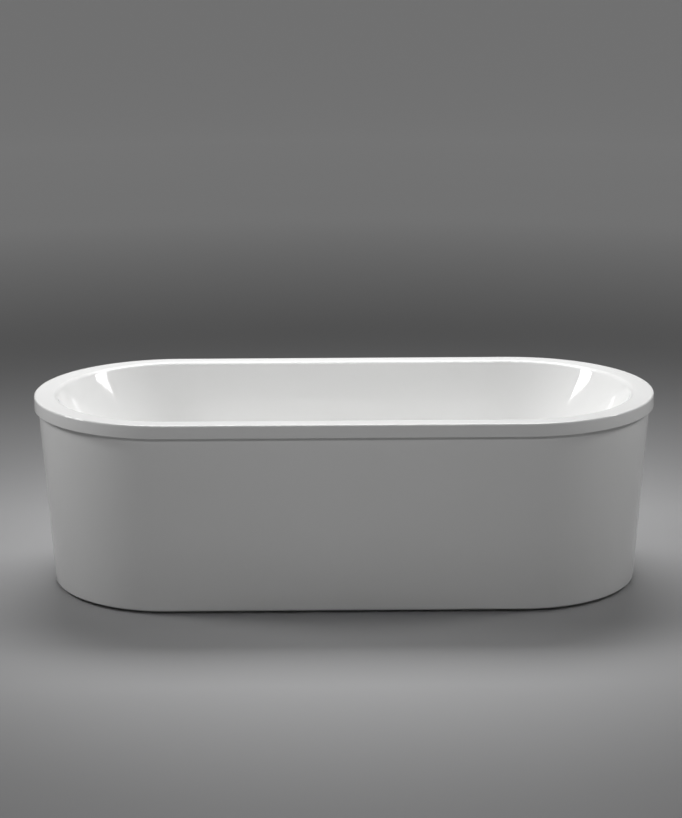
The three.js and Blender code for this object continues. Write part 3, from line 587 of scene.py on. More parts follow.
# the overflow's own frame: its Z points into the basin, square to the front wall, its Y down the wall
joints = {joint["name"]: joint for joint in frame["joints"]}
knobJoint = joints["overflow_knob_turn"]
wallAxis = Vector(knobJoint["axis"]).normalized()
downWall = wallAxis.cross(Vector((1, 0, 0)))
wallSlope = math.atan2(wallAxis.z, wallAxis.y)
overflowPlace = at(*knobJoint["pos_m"]) @ Matrix(((1, 0, 0), downWall, wallAxis)).transposed().to_4x4()
intoY = Matrix.Rotation(-right, 4, "X")  # turns a shape's Z to +Y
outOfY = Matrix.Rotation(right, 4, "X")  # and to -Y
intoX = Matrix.Rotation(right, 4, "Y")

holeReach = shell["holeReach"]
overflowCut = bar(shell["overflowHole"], -holeReach, holeReach, 0, 96).placed(overflowPlace)
stand("bath_shell", Surface().rings(shellRows(), True), look=shellAcrylic, cuts=[overflowCut])
print("shell made")

# The skirt and the foam strip on top of it

skirt = {
    "wall": 0.005,
    "taper": 0.036,
    "footRound": 0.008,
    "topRound": 0.0015,
    "topFlange": 0.025,
    "bottomFlange": 0.03,
    "screwHole": 0.0025,
    "screwInset": 0.009,
    "sealRound": 0.0016,
}
skirtLow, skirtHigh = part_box("skirt_panel")
topHalf = skirtHigh.y
footHalf = topHalf - skirt["taper"]
skirtInner = footHalf - skirt["bottomFlange"]
flangeInner = topHalf - skirt["topFlange"]


def skirtSection():
    # the outer face from foot to top with its rounded foot, then back down inside with its two flanges
    low, high, wall, r = skirtLow.z, skirtHigh.z, skirt["wall"], skirt["footRound"]
    faceAt = lambda z: footHalf + skirt["taper"] * (z - low) / (high - low)
    turn = np.linspace(0, right, 12)
    footZ = low + r * (1 - np.cos(turn))
    foot = np.stack([faceAt(footZ) - r * (1 - np.sin(turn)), footZ], -1)
    faceZ = np.linspace(low + r, high - skirt["topRound"], 24)[1:]
    face = np.stack([faceAt(faceZ), faceZ], -1)
    inside = [
        (topHalf - skirt["topRound"], high),
        (flangeInner, high),
        (flangeInner, high - wall),
        (faceAt(high - wall) - wall, high - wall),
        (faceAt(low + wall) - wall - r / 2, low + wall),
        (skirtInner, low + wall),
        (skirtInner, low),
    ]
    return np.vstack([foot, face, inside])


cornerSigns = [(x, y) for x in (-1, 1) for y in (-1, 1)]
cornerName = lambda x, y: ("right" if x > 0 else "left") + "_" + ("rear" if y > 0 else "front")
screwX = sum(corner.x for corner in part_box("skirt_screw_right_rear")) / 2
screwY = skirtInner + skirt["screwInset"]
screwPlace = lambda x, y: at(x * screwX, y * screwY)
screwHole = bar(skirt["screwHole"], 0, 0.03, 0, 24)
screwHoles = [screwHole.placed(screwPlace(x, y)) for x, y in cornerSigns]
stand("skirt_panel", Surface().rings(hoop(skirtSection()), True), look=skirtAcrylic, cuts=screwHoles)

sealLow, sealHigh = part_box("rim_seal")
sealCorners = [(flangeInner, sealLow.z), (sealHigh.y, sealLow.z)]
sealCorners += [(sealHigh.y, sealHigh.z), (flangeInner, sealHigh.z)]
stand("rim_seal", Surface().rings(hoop(eased(sealCorners, skirt["sealRound"])), True))
print("skirt made")

# The overflow: knob, faceplate and seal in the basin, spindle, crank and body behind the wall

overflow = {
    "plateInner": 0.023,
    "plateOuter": 0.036,
    "plateLow": 0.0003,
    "plateHigh": 0.0043,
    "hub": 0.008,
    "hubBore": 0.0044,
    "spoke": 0.003,
    "sealInner": 0.027,
    "sealSpan": (-0.0099, -0.0073),
    "bodyFront": -0.0102,
    "bodyBack": -0.0417,
    "bodyRadius": 0.034,
    "bodyWall": 0.003,
    "bodyLip": 0.003,
    "outletMiddle": -0.0277,
    "outletLength": 0.0526,
    "spindle": 0.004,
    "clipGroove": 0.001,
    "crankBack": -0.0357,
    "crankFront": -0.0307,
    "crankRadius": 0.014,
    "crankEye": 0.0015,
    "glandRadius": 0.005,
    "glandLength": 0.014,
    "glandBore": 0.0028,
    "glandCut": 0.03,
    "boreDeep": 0.006,
}
knob = {
    "radius": 0.034,
    "back": 0.0123,
    "front": 0.0253,
    "scallops": 10,
    "scallopDepth": 0.0016,
    "dish": 0.0009,
    "socket": 0.0043,
}
knobMiddle = (knob["back"] + knob["front"]) / 2


def scalloped(r, z, turn):
    # the edge dips in by scallopDepth once for each scallop, fading out towards two thirds of the radius
    wave = np.cos(turn * knob["scallops"]) * 0.5 + 0.5
    edge = np.clip((r / knob["radius"] - 0.7) / 0.3, 0, 1)
    return r - knob["scallopDepth"] * edge**2 * wave**3


def overflowKnob():
    # a blind socket for the spindle, a flat back, a full edge and a slightly dished face
    r, back, front, socket = knob["radius"], knob["back"], knob["front"], knob["socket"]
    deep, dished = back + (front - back) / 2, front - knob["dish"]
    corners = [
        (0, deep, 0),
        (socket, deep, 0.0003),
        (socket, back, 0.0004),
        (r - 0.0005, back, 0.0007),
        (r, back + 0.0015, 0.0008),
        (r, front - 0.0028, 0.003),
        (r - 0.0032, front, 0.0028),
        (r * 0.62, front - 0.0002, 0.002),
        (r * 0.56, dished, 0.0018),
        (0, dished, 0),
    ]
    return lathed(corners, 7, 240, closed=False, waist=scalloped)


stand("overflow_knob", overflowKnob().placed(overflowPlace), "knob", sharp=50)


def faceplate():
    # a ring with a bevelled edge, and a hub held by four spokes
    o, low, high = overflow, overflow["plateLow"], overflow["plateHigh"]
    inner, outer = o["plateInner"], o["plateOuter"]
    corners = [
        (inner, low, 0.0003),
        (outer, low, 0.0004),
        (outer, low + 0.0015, 0.0012),
        (outer - 0.002, high, 0.0014),
        (inner, high, 0.0008),
    ]
    hub = sleeve(o["hubBore"], o["hub"], low - 0.004, high + 0.002, 0.0006)
    arms = spokes(o["spoke"], o["hub"] - 0.001, inner + 0.001, low, high - 0.0005)
    return [shape.placed(overflowPlace) for shape in (lathed(corners, steps=144), hub, *arms)]


plateRing, *plateRest = faceplate()
stand("overflow_faceplate", plateRing, joins=plateRest)


def washer(node, inner, body="bath", span=None, place=Matrix()):
    # a flat ring with softly rounded edges
    low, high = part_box(node)
    bottom, top = span or (low.z, high.z)
    stand(node, sleeve(inner, (high.x - low.x) / 2, bottom, top, 0.0007, 112).placed(place), body)


washer("overflow_seal", overflow["sealInner"], span=overflow["sealSpan"], place=overflowPlace)


def spindle():
    # a bar with a groove for its clip in front of the crank
    r, groove = overflow["spindle"], overflow["clipGroove"]
    clip, thin = overflow["crankFront"] + groove, r - 0.0006
    corners = [
        (0, overflow["crankBack"], 0),
        (r, overflow["crankBack"], 0.0005),
        (r, clip, 0.0001),
        (thin, clip, 0.0001),
        (thin, clip + groove, 0.0001),
        (r, clip + groove, 0.0001),
        (r, knobMiddle - fit, 0.0005),
        (0, knobMiddle - fit, 0),
    ]
    return lathed(corners, 4, 48, closed=False)


stand("overflow_spindle", spindle().placed(overflowPlace), "knob")


def crank():
    # a disc with a cable groove round its edge and four eyes
    back, front, r = overflow["crankBack"], overflow["crankFront"], overflow["crankRadius"]
    bore, middle = overflow["spindle"] + fit, (back + front) / 2
    outline = [(bore, back), (r, back), (r, middle - 0.0009), (r - 0.0011, middle)]
    outline += [(r, middle + 0.0009), (r, front), (bore, front)]
    disc = lathed([(*corner, fit) for corner in outline], 4, 96)
    eye = bar(overflow["crankEye"], back - 0.001, front + 0.001, 0, 24)
    eyes = [eye.placed(Matrix.Rotation(k * right, 4, "Z") @ at(r - 0.004)) for k in range(4)]
    return [shape.placed(overflowPlace) for shape in (disc, *eyes)]


crankDisc, *crankEyes = crank()
stand("cable_crank", crankDisc, "knob", cuts=crankEyes)

hose = {
    "radius": 0.013,
    "wall": 0.0025,
    "bend": 0.09,
    "ribPitch": 0.0046,
    "ribDepth": 0.0012,
    "cuff": 0.028,
    "spigotWall": 0.003,
    "nutRadius": 0.0175,
    "nutLength": 0.016,
}


def nozzle(radii, inner, end, deep, boreEnd, place, edge=0.0006, steps=(64, 64)):
    # a stub that starts in a cup's wall, and its bore, which starts deep inside the wall's inner face
    stub = bar(radii[0], inner + 0.001, end, edge, steps[0])
    bore = bar(radii[1], inner - deep, boreEnd, 0, steps[1])
    return [stub.placed(place), bore.placed(place)]


def hoseSpigot(inner, end, deep, place):
    radii = hose["radius"], hose["radius"] - hose["spigotWall"]
    return nozzle(radii, inner, end, deep, end + 0.001, place)


def cableGland(inner, wall, deep, place):
    radii, end = (overflow["glandRadius"], overflow["glandBore"]), wall + overflow["glandLength"]
    return nozzle(radii, inner, end, deep, wall + overflow["glandCut"], place, 0.0005, (40, 32))


outletPlace = overflowPlace @ at(z=overflow["outletMiddle"])
hoseDown = outletPlace @ intoY


def overflowBody():
    # a cup with a lip, a spigot for the hose below and a gland for the cable at 45 degrees
    o, back, front = overflow, overflow["bodyBack"], overflow["bodyFront"]
    inner, lip, floor = o["bodyRadius"] - o["bodyWall"], front - o["bodyLip"], back + o["bodyWall"]
    corners = [
        (0, back, 0),
        (o["bodyRadius"], back, 0.003),
        (o["bodyRadius"], lip, 0.0006),
        (o["plateOuter"], lip, 0.0006),
        (o["plateOuter"], front, 0.0006),
        (inner, front, 0.0006),
        (inner, floor, 0.002),
        (0, floor, 0),
    ]
    cup = lathed(corners, 6, 120, closed=False).placed(overflowPlace)
    spigot, bore = hoseSpigot(inner, o["outletLength"], o["boreDeep"], hoseDown)
    slant = outletPlace @ Matrix.Rotation(-right / 2, 4, "Z") @ intoY
    gland, glandBore = cableGland(inner, o["bodyRadius"], o["boreDeep"], slant)
    stand("overflow_body", cup, joins=[spigot, gland], cuts=[bore, glandBore])


overflowBody()
print("overflow made")

# The waste: chrome flange and plug above, body, lever and axle below

waste = {
    "bore": 0.0215,
    "tube": 0.024,
    "lip": 0.035,
    "thick": 0.0022,
    "hub": 0.006,
    "hubHeight": 0.005,
    "spoke": 0.0015,
    "stem": 0.003,
    "plug": 0.03,
    "plugRim": 0.002,
    "plugDome": 0.004,
    "bodyInner": 0.0265,
    "bodyRadius": 0.03,
    "bodyFlange": 0.036,
    "collar": 0.004,
    "bodyLow": 0.0906,
    "tailRadius": 0.02,
    "tailWall": 0.003,
    "axle": 0.002,
    "leverArm": 0.02,
    "leverHalf": 0.003,
    "leverSwing": math.radians(28.955),
    "hornReach": 0.012,
    "cableDrop": 0.01,
    "wireEye": 0.0007,
    "hoseDeep": 0.008,
    "cableDeep": 0.005,
}


def wasteFlange():
    # a tube with a wide lip that funnels into it, and a hub for the plug's stem on four spokes
    w, (low, high) = waste, heights("waste_flange")
    bore, lip, seat = w["bore"], w["lip"], high - w["thick"]
    corners = [
        (bore, low, 0.0005),
        (w["tube"], low, 0.0005),
        (w["tube"], seat, 0.0004),
        (lip, seat, 0.0004),
        (lip, high - 0.0014, 0.0011),
        (lip - 0.0035, high, 0.003),
        (bore + 0.0028, high - 0.0002, 0.0024),
        (bore, high - 0.0036, 0.003),
    ]
    hubTop = low + w["hubHeight"]
    hub = sleeve(w["stem"] + 0.0004, w["hub"], low, hubTop, 0.0006)
    arms = spokes(w["spoke"], w["hub"] - 0.0008, bore + 0.0012, low, hubTop)
    stand("waste_flange", lathed(corners, 7, 144), joins=[hub, *arms])


def wastePlug():
    # the stem, the flat back and a low crown that follows a quarter of an ellipse
    w, (low, high) = waste, heights("waste_plug")
    under = high - w["plugRim"] - w["plugDome"]
    crown = np.linspace(1, 0, 26)
    rise = under + w["plugRim"] + w["plugDome"] * np.sqrt(1 - crown**2)
    dome = np.stack([w["plug"] * crown, rise], -1)
    back = [(0, low), (w["stem"], low), (w["stem"], under)]
    back += [(w["plug"] - 0.0006, under), (w["plug"], under + 0.0006)]
    back = eased(back, [0, 0.0007, 0.0006, 0.0005, 0.0003], 5, closed=False)
    stand("waste_plug", turned(np.vstack([back, dome]), 144), "plug")


wasteFlange()
wastePlug()
washer("plug_seal", waste["tube"], "plug")
washer("waste_upper_seal", shell["holeRadius"] + 0.001)
washer("waste_lower_seal", shell["holeRadius"] + 0.001)

bodyBottom, bodyTop = heights("waste_body")
atPivot = at(*joints["lift_lever_swing"]["pos_m"])
glandZ = atPivot.translation.z - waste["cableDrop"]
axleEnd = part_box("lever_axle")[1].y
hoseZ = bodyTop - hose["nutRadius"]
hoseFront = at(z=hoseZ) @ outOfY
spigotEnd = waste["bodyFlange"] + hose["nutLength"] + fit


def wasteBody():
    # a stepped cup with a tail, the overflow hose's spigot in front and the cable's gland at the right
    w, inner, low = waste, waste["bodyInner"], waste["bodyLow"]
    tail = w["tailRadius"] - w["tailWall"]
    floor, lip = low + w["bodyRadius"] - inner, bodyTop - w["collar"]
    corners = [
        (inner, bodyTop, 0.0005),
        (inner, floor, 0.003),
        (tail, floor - 0.001, 0.001),
        (tail, bodyBottom, 0.0005),
        (w["tailRadius"], bodyBottom, 0.0008),
        (w["tailRadius"], low, 0.0015),
        (w["bodyRadius"], low, 0.003),
        (w["bodyRadius"], lip, 0.0008),
        (w["bodyFlange"], lip, 0.0008),
        (w["bodyFlange"], bodyTop, 0.0008),
    ]
    spigot, bore = hoseSpigot(inner, spigotEnd, w["hoseDeep"], hoseFront)
    gland, glandBore = cableGland(inner, w["bodyRadius"], w["cableDeep"], at(z=glandZ) @ intoX)
    axleHalf = axleEnd + 0.003
    axleHole = bar(w["axle"] + fit, -axleHalf, axleHalf, 0, 32).placed(atPivot @ outOfY)
    stand("waste_body", lathed(corners, 6, 120), joins=[spigot, gland], cuts=[bore, glandBore, axleHole])


def liftLever():
    # a boss on the axle, an arm with a round tip under the plug's stem and a horn with the wire's eye
    w, half, flat = waste, waste["leverHalf"], waste["leverHalf"] * 0.8
    arm, acrossAxle = -w["leverArm"], atPivot @ outOfY
    swing = atPivot @ Matrix.Rotation(-w["leverSwing"] / 2, 4, "Y")
    boss = bar(w["axle"] + 0.0025, -half, half, 0.0005, 48).placed(acrossAxle)
    tip = bar(half, -half, half, 0.0006, 40).placed(swing @ at(arm) @ outOfY)
    armOutline = eased([(arm, -0.0014), (0, -0.0022), (0, 0.0022), (arm, 0.0014)], 0.0003)
    limb = prism(armOutline, -flat, flat).placed(swing @ outOfY)
    horn = block((-0.0015, -flat, -w["hornReach"]), (0.0015, flat, 0), 0.0004).placed(atPivot)
    hole = bar(w["axle"] + 0.0004, -half - 0.001, half + 0.001, 0, 32).placed(acrossAxle)
    eye = bar(w["wireEye"], -0.01, 0.01, 0, 20).placed(atPivot @ at(z=-w["cableDrop"]) @ outOfY)
    stand("lift_lever", boss, "lever", joins=[limb, tip, horn], cuts=[hole, eye])


wasteBody()
stand("lever_axle", bar(waste["axle"], -axleEnd, axleEnd, 0.0004, 40).placed(atPivot @ outOfY))
liftLever()
print("waste made")

# The hose and the cable from the overflow to the waste, each held at both ends


def fromOverflow(x, y, z):
    return np.array(overflowPlace @ Vector((x, y, z)))


def faded(value, low, high, over):
    # 1 between low and high, falling to 0 at both
    return np.clip((value - low) / over, 0, 1) * np.clip((high - value) / over, 0, 1)


def ribbed(count, depth, outer, low, high):
    # grip ribs: the outer face dips between them, and keeps its full radius near both ends
    def waist(r, z, turn):
        wave = (0.5 - 0.5 * np.cos(turn * count)) ** 2
        return r - depth * wave * faded(z, low, high, 0.0012) * (r > outer - 0.0002)

    return waist


def ringNut(inner, outer, low, high, count=24, depth=0.0009, edge=0.0008):
    # a moulded ring nut with grip ribs and a plain collar at its mouth
    rib = high - (high - low) * 0.25
    levels = np.linspace(low + 0.001, rib, 9)
    corners = [(inner, low), (outer - edge, low), *[(outer, z) for z in levels], (outer, high - edge)]
    corners += [(outer - edge, high), (inner, high)]
    return turned(np.array(corners), count * 8, ribbed(count, depth, outer, low, rib))


def hoseRoute():
    # down the back of the wall, one even bend under the basin, and level into the waste
    start = fromOverflow(0, overflow["outletLength"] + fit, overflow["outletMiddle"])
    finish = np.array([0, -spigotEnd - fit, hoseZ])
    fall = np.array(downWall)
    corner = start + fall * (start[2] - hoseZ) / math.cos(wallSlope)
    setBack = hose["bend"] * math.tan((right - wallSlope) / 2)
    centre = np.array([0, corner[1] + setBack, hoseZ + hose["bend"]])
    step = hose["ribPitch"] / 8
    turn = np.arange(math.pi + wallSlope, 1.5 * math.pi, step / hose["bend"])[:, None]
    arc = centre + hose["bend"] * np.hstack([0 * turn, np.cos(turn), np.sin(turn)])
    straight = lambda a, b: a + (b - a) * np.arange(0, 1, step / np.linalg.norm(b - a))[:, None]
    level = np.array([0, centre[1], hoseZ])
    return np.vstack([straight(start, corner - fall * setBack), arc, straight(level, finish), finish])


def runAlong(path):
    return np.r_[0, np.cumsum(np.linalg.norm(np.diff(path, axis=0), axis=1))]


def hoseRadius(path):
    # round ribs a pitch apart, with a plain cuff at each end
    run = runAlong(path)
    wave = 0.5 - 0.5 * np.cos(run / hose["ribPitch"] * tau)
    ribs = faded(run, hose["cuff"], run[-1] - hose["cuff"], 0.002)
    return hose["radius"] - hose["ribDepth"] * ribs * wave


def hoseNut(node, end, place):
    nut = ringNut(hose["radius"] + fit, hose["nutRadius"], end - hose["nutLength"], end - fit)
    stand(node, nut.placed(place))


hosePath = hoseRoute()
hoseShape = swept(hosePath, hoseRadius(hosePath), 28, hose["radius"] - hose["wall"])
stand("overflow_hose", hoseShape, sharp=60)
hoseNut("hose_nut_upper", overflow["outletLength"], hoseDown)
hoseNut("hose_nut_lower", spigotEnd, hoseFront)

cable = {"radius": 0.0025, "offset": 0.034, "clear": 0.014, "ferrule": 0.0034, "ferruleLength": 0.012}


def cableRoute():
    # beside the hose down the wall, then round to the gland on the waste's right side
    offset, clear, mid = cable["offset"], cable["clear"], overflow["outletMiddle"]
    reach = overflow["bodyRadius"] + overflow["glandLength"] + fit
    slant = math.sqrt(0.5)
    start = fromOverflow(reach * slant, reach * slant, mid)
    wallRun = (start[2] - hoseZ) / math.cos(wallSlope)
    alongWall = lambda share: fromOverflow(offset + clear, reach * slant + share * wallRun, mid + 0.004)
    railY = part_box("frame_rail_front")[1].y - 0.015
    endX = waste["bodyRadius"] + overflow["glandLength"] + fit
    middle = alongWall(0.62)
    points = [
        start,
        fromOverflow((reach + clear) * slant, (reach + clear) * slant, mid),
        alongWall(0.2),
        alongWall(0.42),
        middle,
        (offset + clear, middle[1] + 0.045, hoseZ + 0.01),
        (offset + 0.022, railY, hoseZ + 0.002),
        (offset + 0.046, railY / 2.6, glandZ + 0.003),
        (offset + 0.042, -0.008, glandZ + 0.0005),
        (endX + 0.012, 0, glandZ),
        (endX, 0, glandZ),
    ]
    return smoothRoute([np.array(p, float) for p in points], 26)


def cableRadius(path):
    # a sheath with a crimped ferrule at each end
    run = runAlong(path)
    nearEnd = np.minimum(run, run[-1] - run) < cable["ferruleLength"]
    return np.where(nearEnd, cable["ferrule"], cable["radius"])


cablePath = cableRoute()
stand("control_cable", swept(cablePath, cableRadius(cablePath), 20, ref=(1, 1, 1)))
print("hose and cable made")

# The trap, its nuts and the outlet pipe

trap = {
    "radius": 0.034,
    "wall": 0.0035,
    "outletRadius": 0.018,
    "outletDrop": 0.023,
    "outletReach": 0.066,
    "pipeRadius": 0.016,
    "pipeWall": 0.002,
    "pipeBend": 0.026,
    "pipeRun": 0.016,
    "pipeTuck": 0.01,
    "nutWall": 0.0055,
    "nutStart": 0.05,
    "nutLength": 0.0157,
    "capRibs": 36,
    "boreDeep": 0.004,
}
trapBottom, trapTop = heights("trap_body")
outletZ = trapTop - trap["outletDrop"]
trapSide = at(z=outletZ) @ intoX


def trapBody():
    # a cup open at its foot, closed by a shoulder round the waste's tail, with an outlet to the right
    t, tail = trap, waste["tailRadius"] + fit
    inner, shoulder = t["radius"] - t["wall"], trapTop - t["wall"]
    corners = [
        (inner, trapBottom, 0.0005),
        (t["radius"], trapBottom, 0.0006),
        (t["radius"], trapTop, 0.004),
        (tail, trapTop, 0.0005),
        (tail, shoulder, 0.0005),
        (inner, shoulder, 0.002),
    ]
    radii, end = (t["outletRadius"], t["pipeRadius"] + fit), t["outletReach"]
    outlet, bore = nozzle(radii, inner, end, t["boreDeep"], end + 0.001, trapSide, steps=(80, 80))
    stand("trap_body", lathed(corners, 7, 120), joins=[outlet], cuts=[bore])


def cleanoutCap():
    # a ribbed disc with a bar across its face to turn it by
    low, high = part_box("trap_cleanout_cap")
    outer, bottom, top, face = high.x, low.z, high.z, low.z + 0.0018
    levels = np.linspace(bottom + 0.001, top - 0.0016, 6)
    corners = [(0, face), (outer - 0.006, face), (outer - 0.007, bottom), (outer - 0.0012, bottom)]
    corners += [*[(outer, z) for z in levels], (outer, top - 0.0006), (outer - 0.0006, top), (0, top)]
    ribs = ribbed(trap["capRibs"], 0.0009, outer, bottom, top - 0.0016)
    half = outer - 0.0065
    grip = block((-half, -0.0022, bottom), (half, 0.0022, bottom + 0.0025), 0.0006)
    stand("trap_cleanout_cap", turned(np.array(corners), trap["capRibs"] * 8, ribs), joins=[grip])


def outletRoute():
    # level out of the trap, one bend, and down to the floor
    t, bendX = trap, trap["outletReach"] + trap["pipeRun"]
    turn = np.linspace(0, right, 40)[:, None]
    arc = t["pipeBend"] * np.hstack([np.sin(turn), 0 * turn, np.cos(turn) - 1]) + [bendX, 0, outletZ]
    start = np.array([[t["outletReach"] - t["pipeTuck"], 0, outletZ]])
    end = np.array([[bendX + t["pipeBend"], 0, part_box("outlet_pipe")[0].z]])
    share = np.linspace(0, 1, 8)[:, None]
    return np.vstack([start + (arc[0] - start) * share[:-1], arc, arc[-1] + (end - arc[-1]) * share[1:]])


trapBody()
slipLow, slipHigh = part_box("trap_slip_nut")
stand("trap_slip_nut", ringNut(waste["tailRadius"] + fit, slipHigh.x, slipLow.z, slipHigh.z, 30))
outletRadius, nutStart = trap["outletRadius"], trap["nutStart"]
nutEnd = nutStart + trap["nutLength"]
outletNut = ringNut(outletRadius + fit, outletRadius + trap["nutWall"], nutStart, nutEnd, 28)
stand("outlet_nut", outletNut.placed(trapSide))
cleanoutCap()
pipeRadius = trap["pipeRadius"]
stand("outlet_pipe", swept(outletRoute(), pipeRadius, 72, pipeRadius - trap["pipeWall"], ref=(0, 1, 0)))
print("trap made")

# The under-frame: square tubes, the board under the basin and the angle plates that hold the skirt

steel = {
    "tubeWall": 0.002,
    "tubeCorner": 0.0032,
    "studHole": 0.0056,
    "boardEdge": 0.0008,
    "boardHole": 0.05,
    "boardSlot": 0.026,
    "bracketPlate": 0.0025,
    "bracketBend": 0.004,
    "screwRadius": 0.0022,
    "screwPitch": 0.0011,
    "threadDepth": 0.0005,
    "headRadius": 0.0046,
    "headHeight": 0.003,
}
footBoxes = {corner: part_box("foot_pad_" + cornerName(*corner)) for corner in cornerSigns}
footCentres = {corner: (low + high) / 2 for corner, (low, high) in footBoxes.items()}


def squareTube(node, axis, cuts=()):
    # a hollow square section with rounded corners, carried along X or Y
    low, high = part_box(node)
    half, middle = (high.z - low.z) / 2, (low + high) / 2
    start, end = (low.x, high.x) if axis == "x" else (low.y, high.y)

    def ring(inset, run):
        h, r = half - inset, steel["tubeCorner"] - inset
        section = eased([(-h, -h), (h, -h), (h, h), (-h, h)], r, 7)
        return np.column_stack([np.full(len(section), run), section])

    wall = steel["tubeWall"]
    rows = np.stack([ring(0, start), ring(0, end), ring(wall, end), ring(wall, start)])
    tube = Surface().rings(rows, True)
    if axis == "x":
        place = at(0, middle.y, middle.z)
    else:
        place = at(middle.x, 0, middle.z) @ Matrix.Rotation(right, 4, "Z")
    stand(node, tube.placed(place), cuts=cuts)


def baseBoard():
    # a pill-shaped board with crisp edges, a round opening for the waste and a slot for the hose
    low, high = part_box("base_board")
    half, edge, bottom, top = high.y, steel["boardEdge"], low.z, high.z
    section = [(half - edge, bottom), (half, bottom + edge), (half, top - edge), (half - edge, top)]
    section = np.array(section)
    rows = pill(section[:, 0], high.x - half, section[:, 1], section[:, 1])
    opening = bar(steel["boardHole"], bottom - 0.01, top + 0.01, 0, 96)
    slot = block((-steel["boardSlot"], -half - 0.01, bottom - 0.01), (steel["boardSlot"], 0, top + 0.01))
    stand("base_board", Surface().rings(rows), cuts=[opening, slot])


def skirtBracket(x, y):
    # an angle plate: a leg against the tube's end and a foot on the skirt's flange, with a round bend
    node = "skirt_bracket_" + cornerName(x, y)
    low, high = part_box(node)
    near, far = (low.y, high.y) if y > 0 else (-high.y, -low.y)
    t, bend, bottom, top = steel["bracketPlate"], steel["bracketBend"], low.z, high.z
    outline = [(near, bottom), (far, bottom), (far, bottom + t)]
    outline += [(near + t, bottom + t), (near + t, top), (near, top)]
    section = eased(outline, [bend, 0.0005, 0.0005, bend - t, 0.0005, 0.0005], 7)
    rows = np.stack([np.column_stack([np.full(len(section), x), section]) for x in (low.x, high.x)])
    rows[..., 1] *= y
    hole = bar(steel["screwRadius"] + fit, bottom - 0.002, bottom + 0.006, 0, 32)
    middle = (low.x + high.x) / 2
    stand(node, Surface().rings(rows), cuts=[hole.placed(at(middle, y * screwY))])


def threadProfile(radius, low, high, pitch, tip):
    # rows six to a pitch, so that a helix can be cut into the bar between its two chamfers
    rows = np.arange(low + tip, high - tip, pitch / 6)
    body = np.stack([np.full(len(rows), radius), rows], -1)
    end = [(radius, high - tip), (radius - tip, high), (0, high)]
    return np.vstack([[(0, low), (radius - tip, low)], body, end])


def threaded(pitch, depth, radius, low, high):
    # a V groove that climbs one pitch a turn, fading out at both ends
    def waist(r, z, turn):
        share = (z / pitch - turn / tau) % 1
        return r - depth * np.abs(2 * share - 1) * faded(z, low, high, pitch) * (r > radius - 0.0001)

    return waist


def skirtScrew(x, y):
    # a pan head with a cross recess, and a threaded shank to a blunt point
    node = "skirt_screw_" + cornerName(x, y)
    low, high = heights(node)
    head, wide = high - steel["headHeight"], steel["headRadius"]
    r, pitch = steel["screwRadius"], steel["screwPitch"]
    thread = threaded(pitch, steel["threadDepth"], r, low + 0.001, head)
    shank = turned(threadProfile(r, low, head, pitch, r * 0.4), 32, thread)
    corners = [(0, head, 0), (wide, head, 0.0003), (wide * 0.92, high, 0.0016), (0, high, 0)]
    top = lathed(corners, 7, 48, closed=False)
    arm = block((-0.0024, -0.0005, high - 0.0014), (0.0024, 0.0005, high + 0.001))
    cross = [arm, arm.placed(Matrix.Rotation(right, 4, "Z"))]
    place = screwPlace(x, y)
    stand(node, top.placed(place), joins=[shank.placed(place)], cuts=[c.placed(place) for c in cross])


squareTube("frame_rail_front", "x")
squareTube("frame_rail_rear", "x")
for side, sign in (("left", -1), ("right", 1)):
    studHole = bar(steel["studHole"], 0.05, 0.1, 0, 40)
    holes = [studHole.placed(at(c.x, c.y)) for (x, y), c in footCentres.items() if x == sign]
    squareTube("frame_end_member_" + side, "y", holes)
    squareTube("frame_batten_" + side, "y")
baseBoard()
for x, y in cornerSigns:
    skirtBracket(x, y)
    skirtScrew(x, y)
print("under-frame made")

# The screw feet

foot = {
    "stud": 0.005,
    "pitch": 0.0015,
    "threadDepth": 0.0009,
    "flats": 0.0085,
    "flatsEdge": 0.0011,
    "hexLow": 0.0144,
    "hexHigh": 0.0204,
    "socket": 0.0054,
    "socketFloor": 0.006,
    "rimHeight": 0.006,
    "topRadius": 0.013,
    "grips": 20,
    "gripDepth": 0.0011,
    "gripInner": 0.0235,
}


def sixSided(r, z, turn):
    # a round profile cut back to six flats, with corners on the X axis
    return np.minimum(r, foot["flats"] / np.cos(turn % (tau / 6) - tau / 12))


def hexProfile(inner, low, high):
    # flats with their corners turned off at both ends
    flats, edge = foot["flats"], foot["flatsEdge"]
    corner, face = flats / math.cos(tau / 12), flats - 0.0003
    outline = [(inner, low), (face, low), (corner, low + edge)]
    return np.array(outline + [(corner, high - edge), (face, high), (inner, high)])


def gripped(r, z, turn):
    # shallow scoops round the pad's edge, deepest at mid height of its rim
    wave = (0.5 - 0.5 * np.cos(turn * foot["grips"])) ** 2
    rim = faded(z, 0, foot["rimHeight"], 0.001) * (r > foot["gripInner"])
    return r - foot["gripDepth"] * wave * rim


def padProfile(low, high, outer):
    # hollowed a little underneath, a full rim, a sloped top and a socket for the stud
    f, hollow, floor = foot, low + 0.0012, low + foot["socketFloor"]
    rim = [(outer, z) for z in np.linspace(low + 0.0008, low + f["rimHeight"], 7)]
    corners = [(0, hollow), (outer - 0.006, hollow), (outer - 0.0066, low), (outer - 0.0008, low), *rim]
    corners += [(f["topRadius"] + 0.002, high - 0.0016), (f["topRadius"] - 0.0008, high)]
    return np.array(corners + [(f["socket"], high), (f["socket"], floor), (0, floor)])


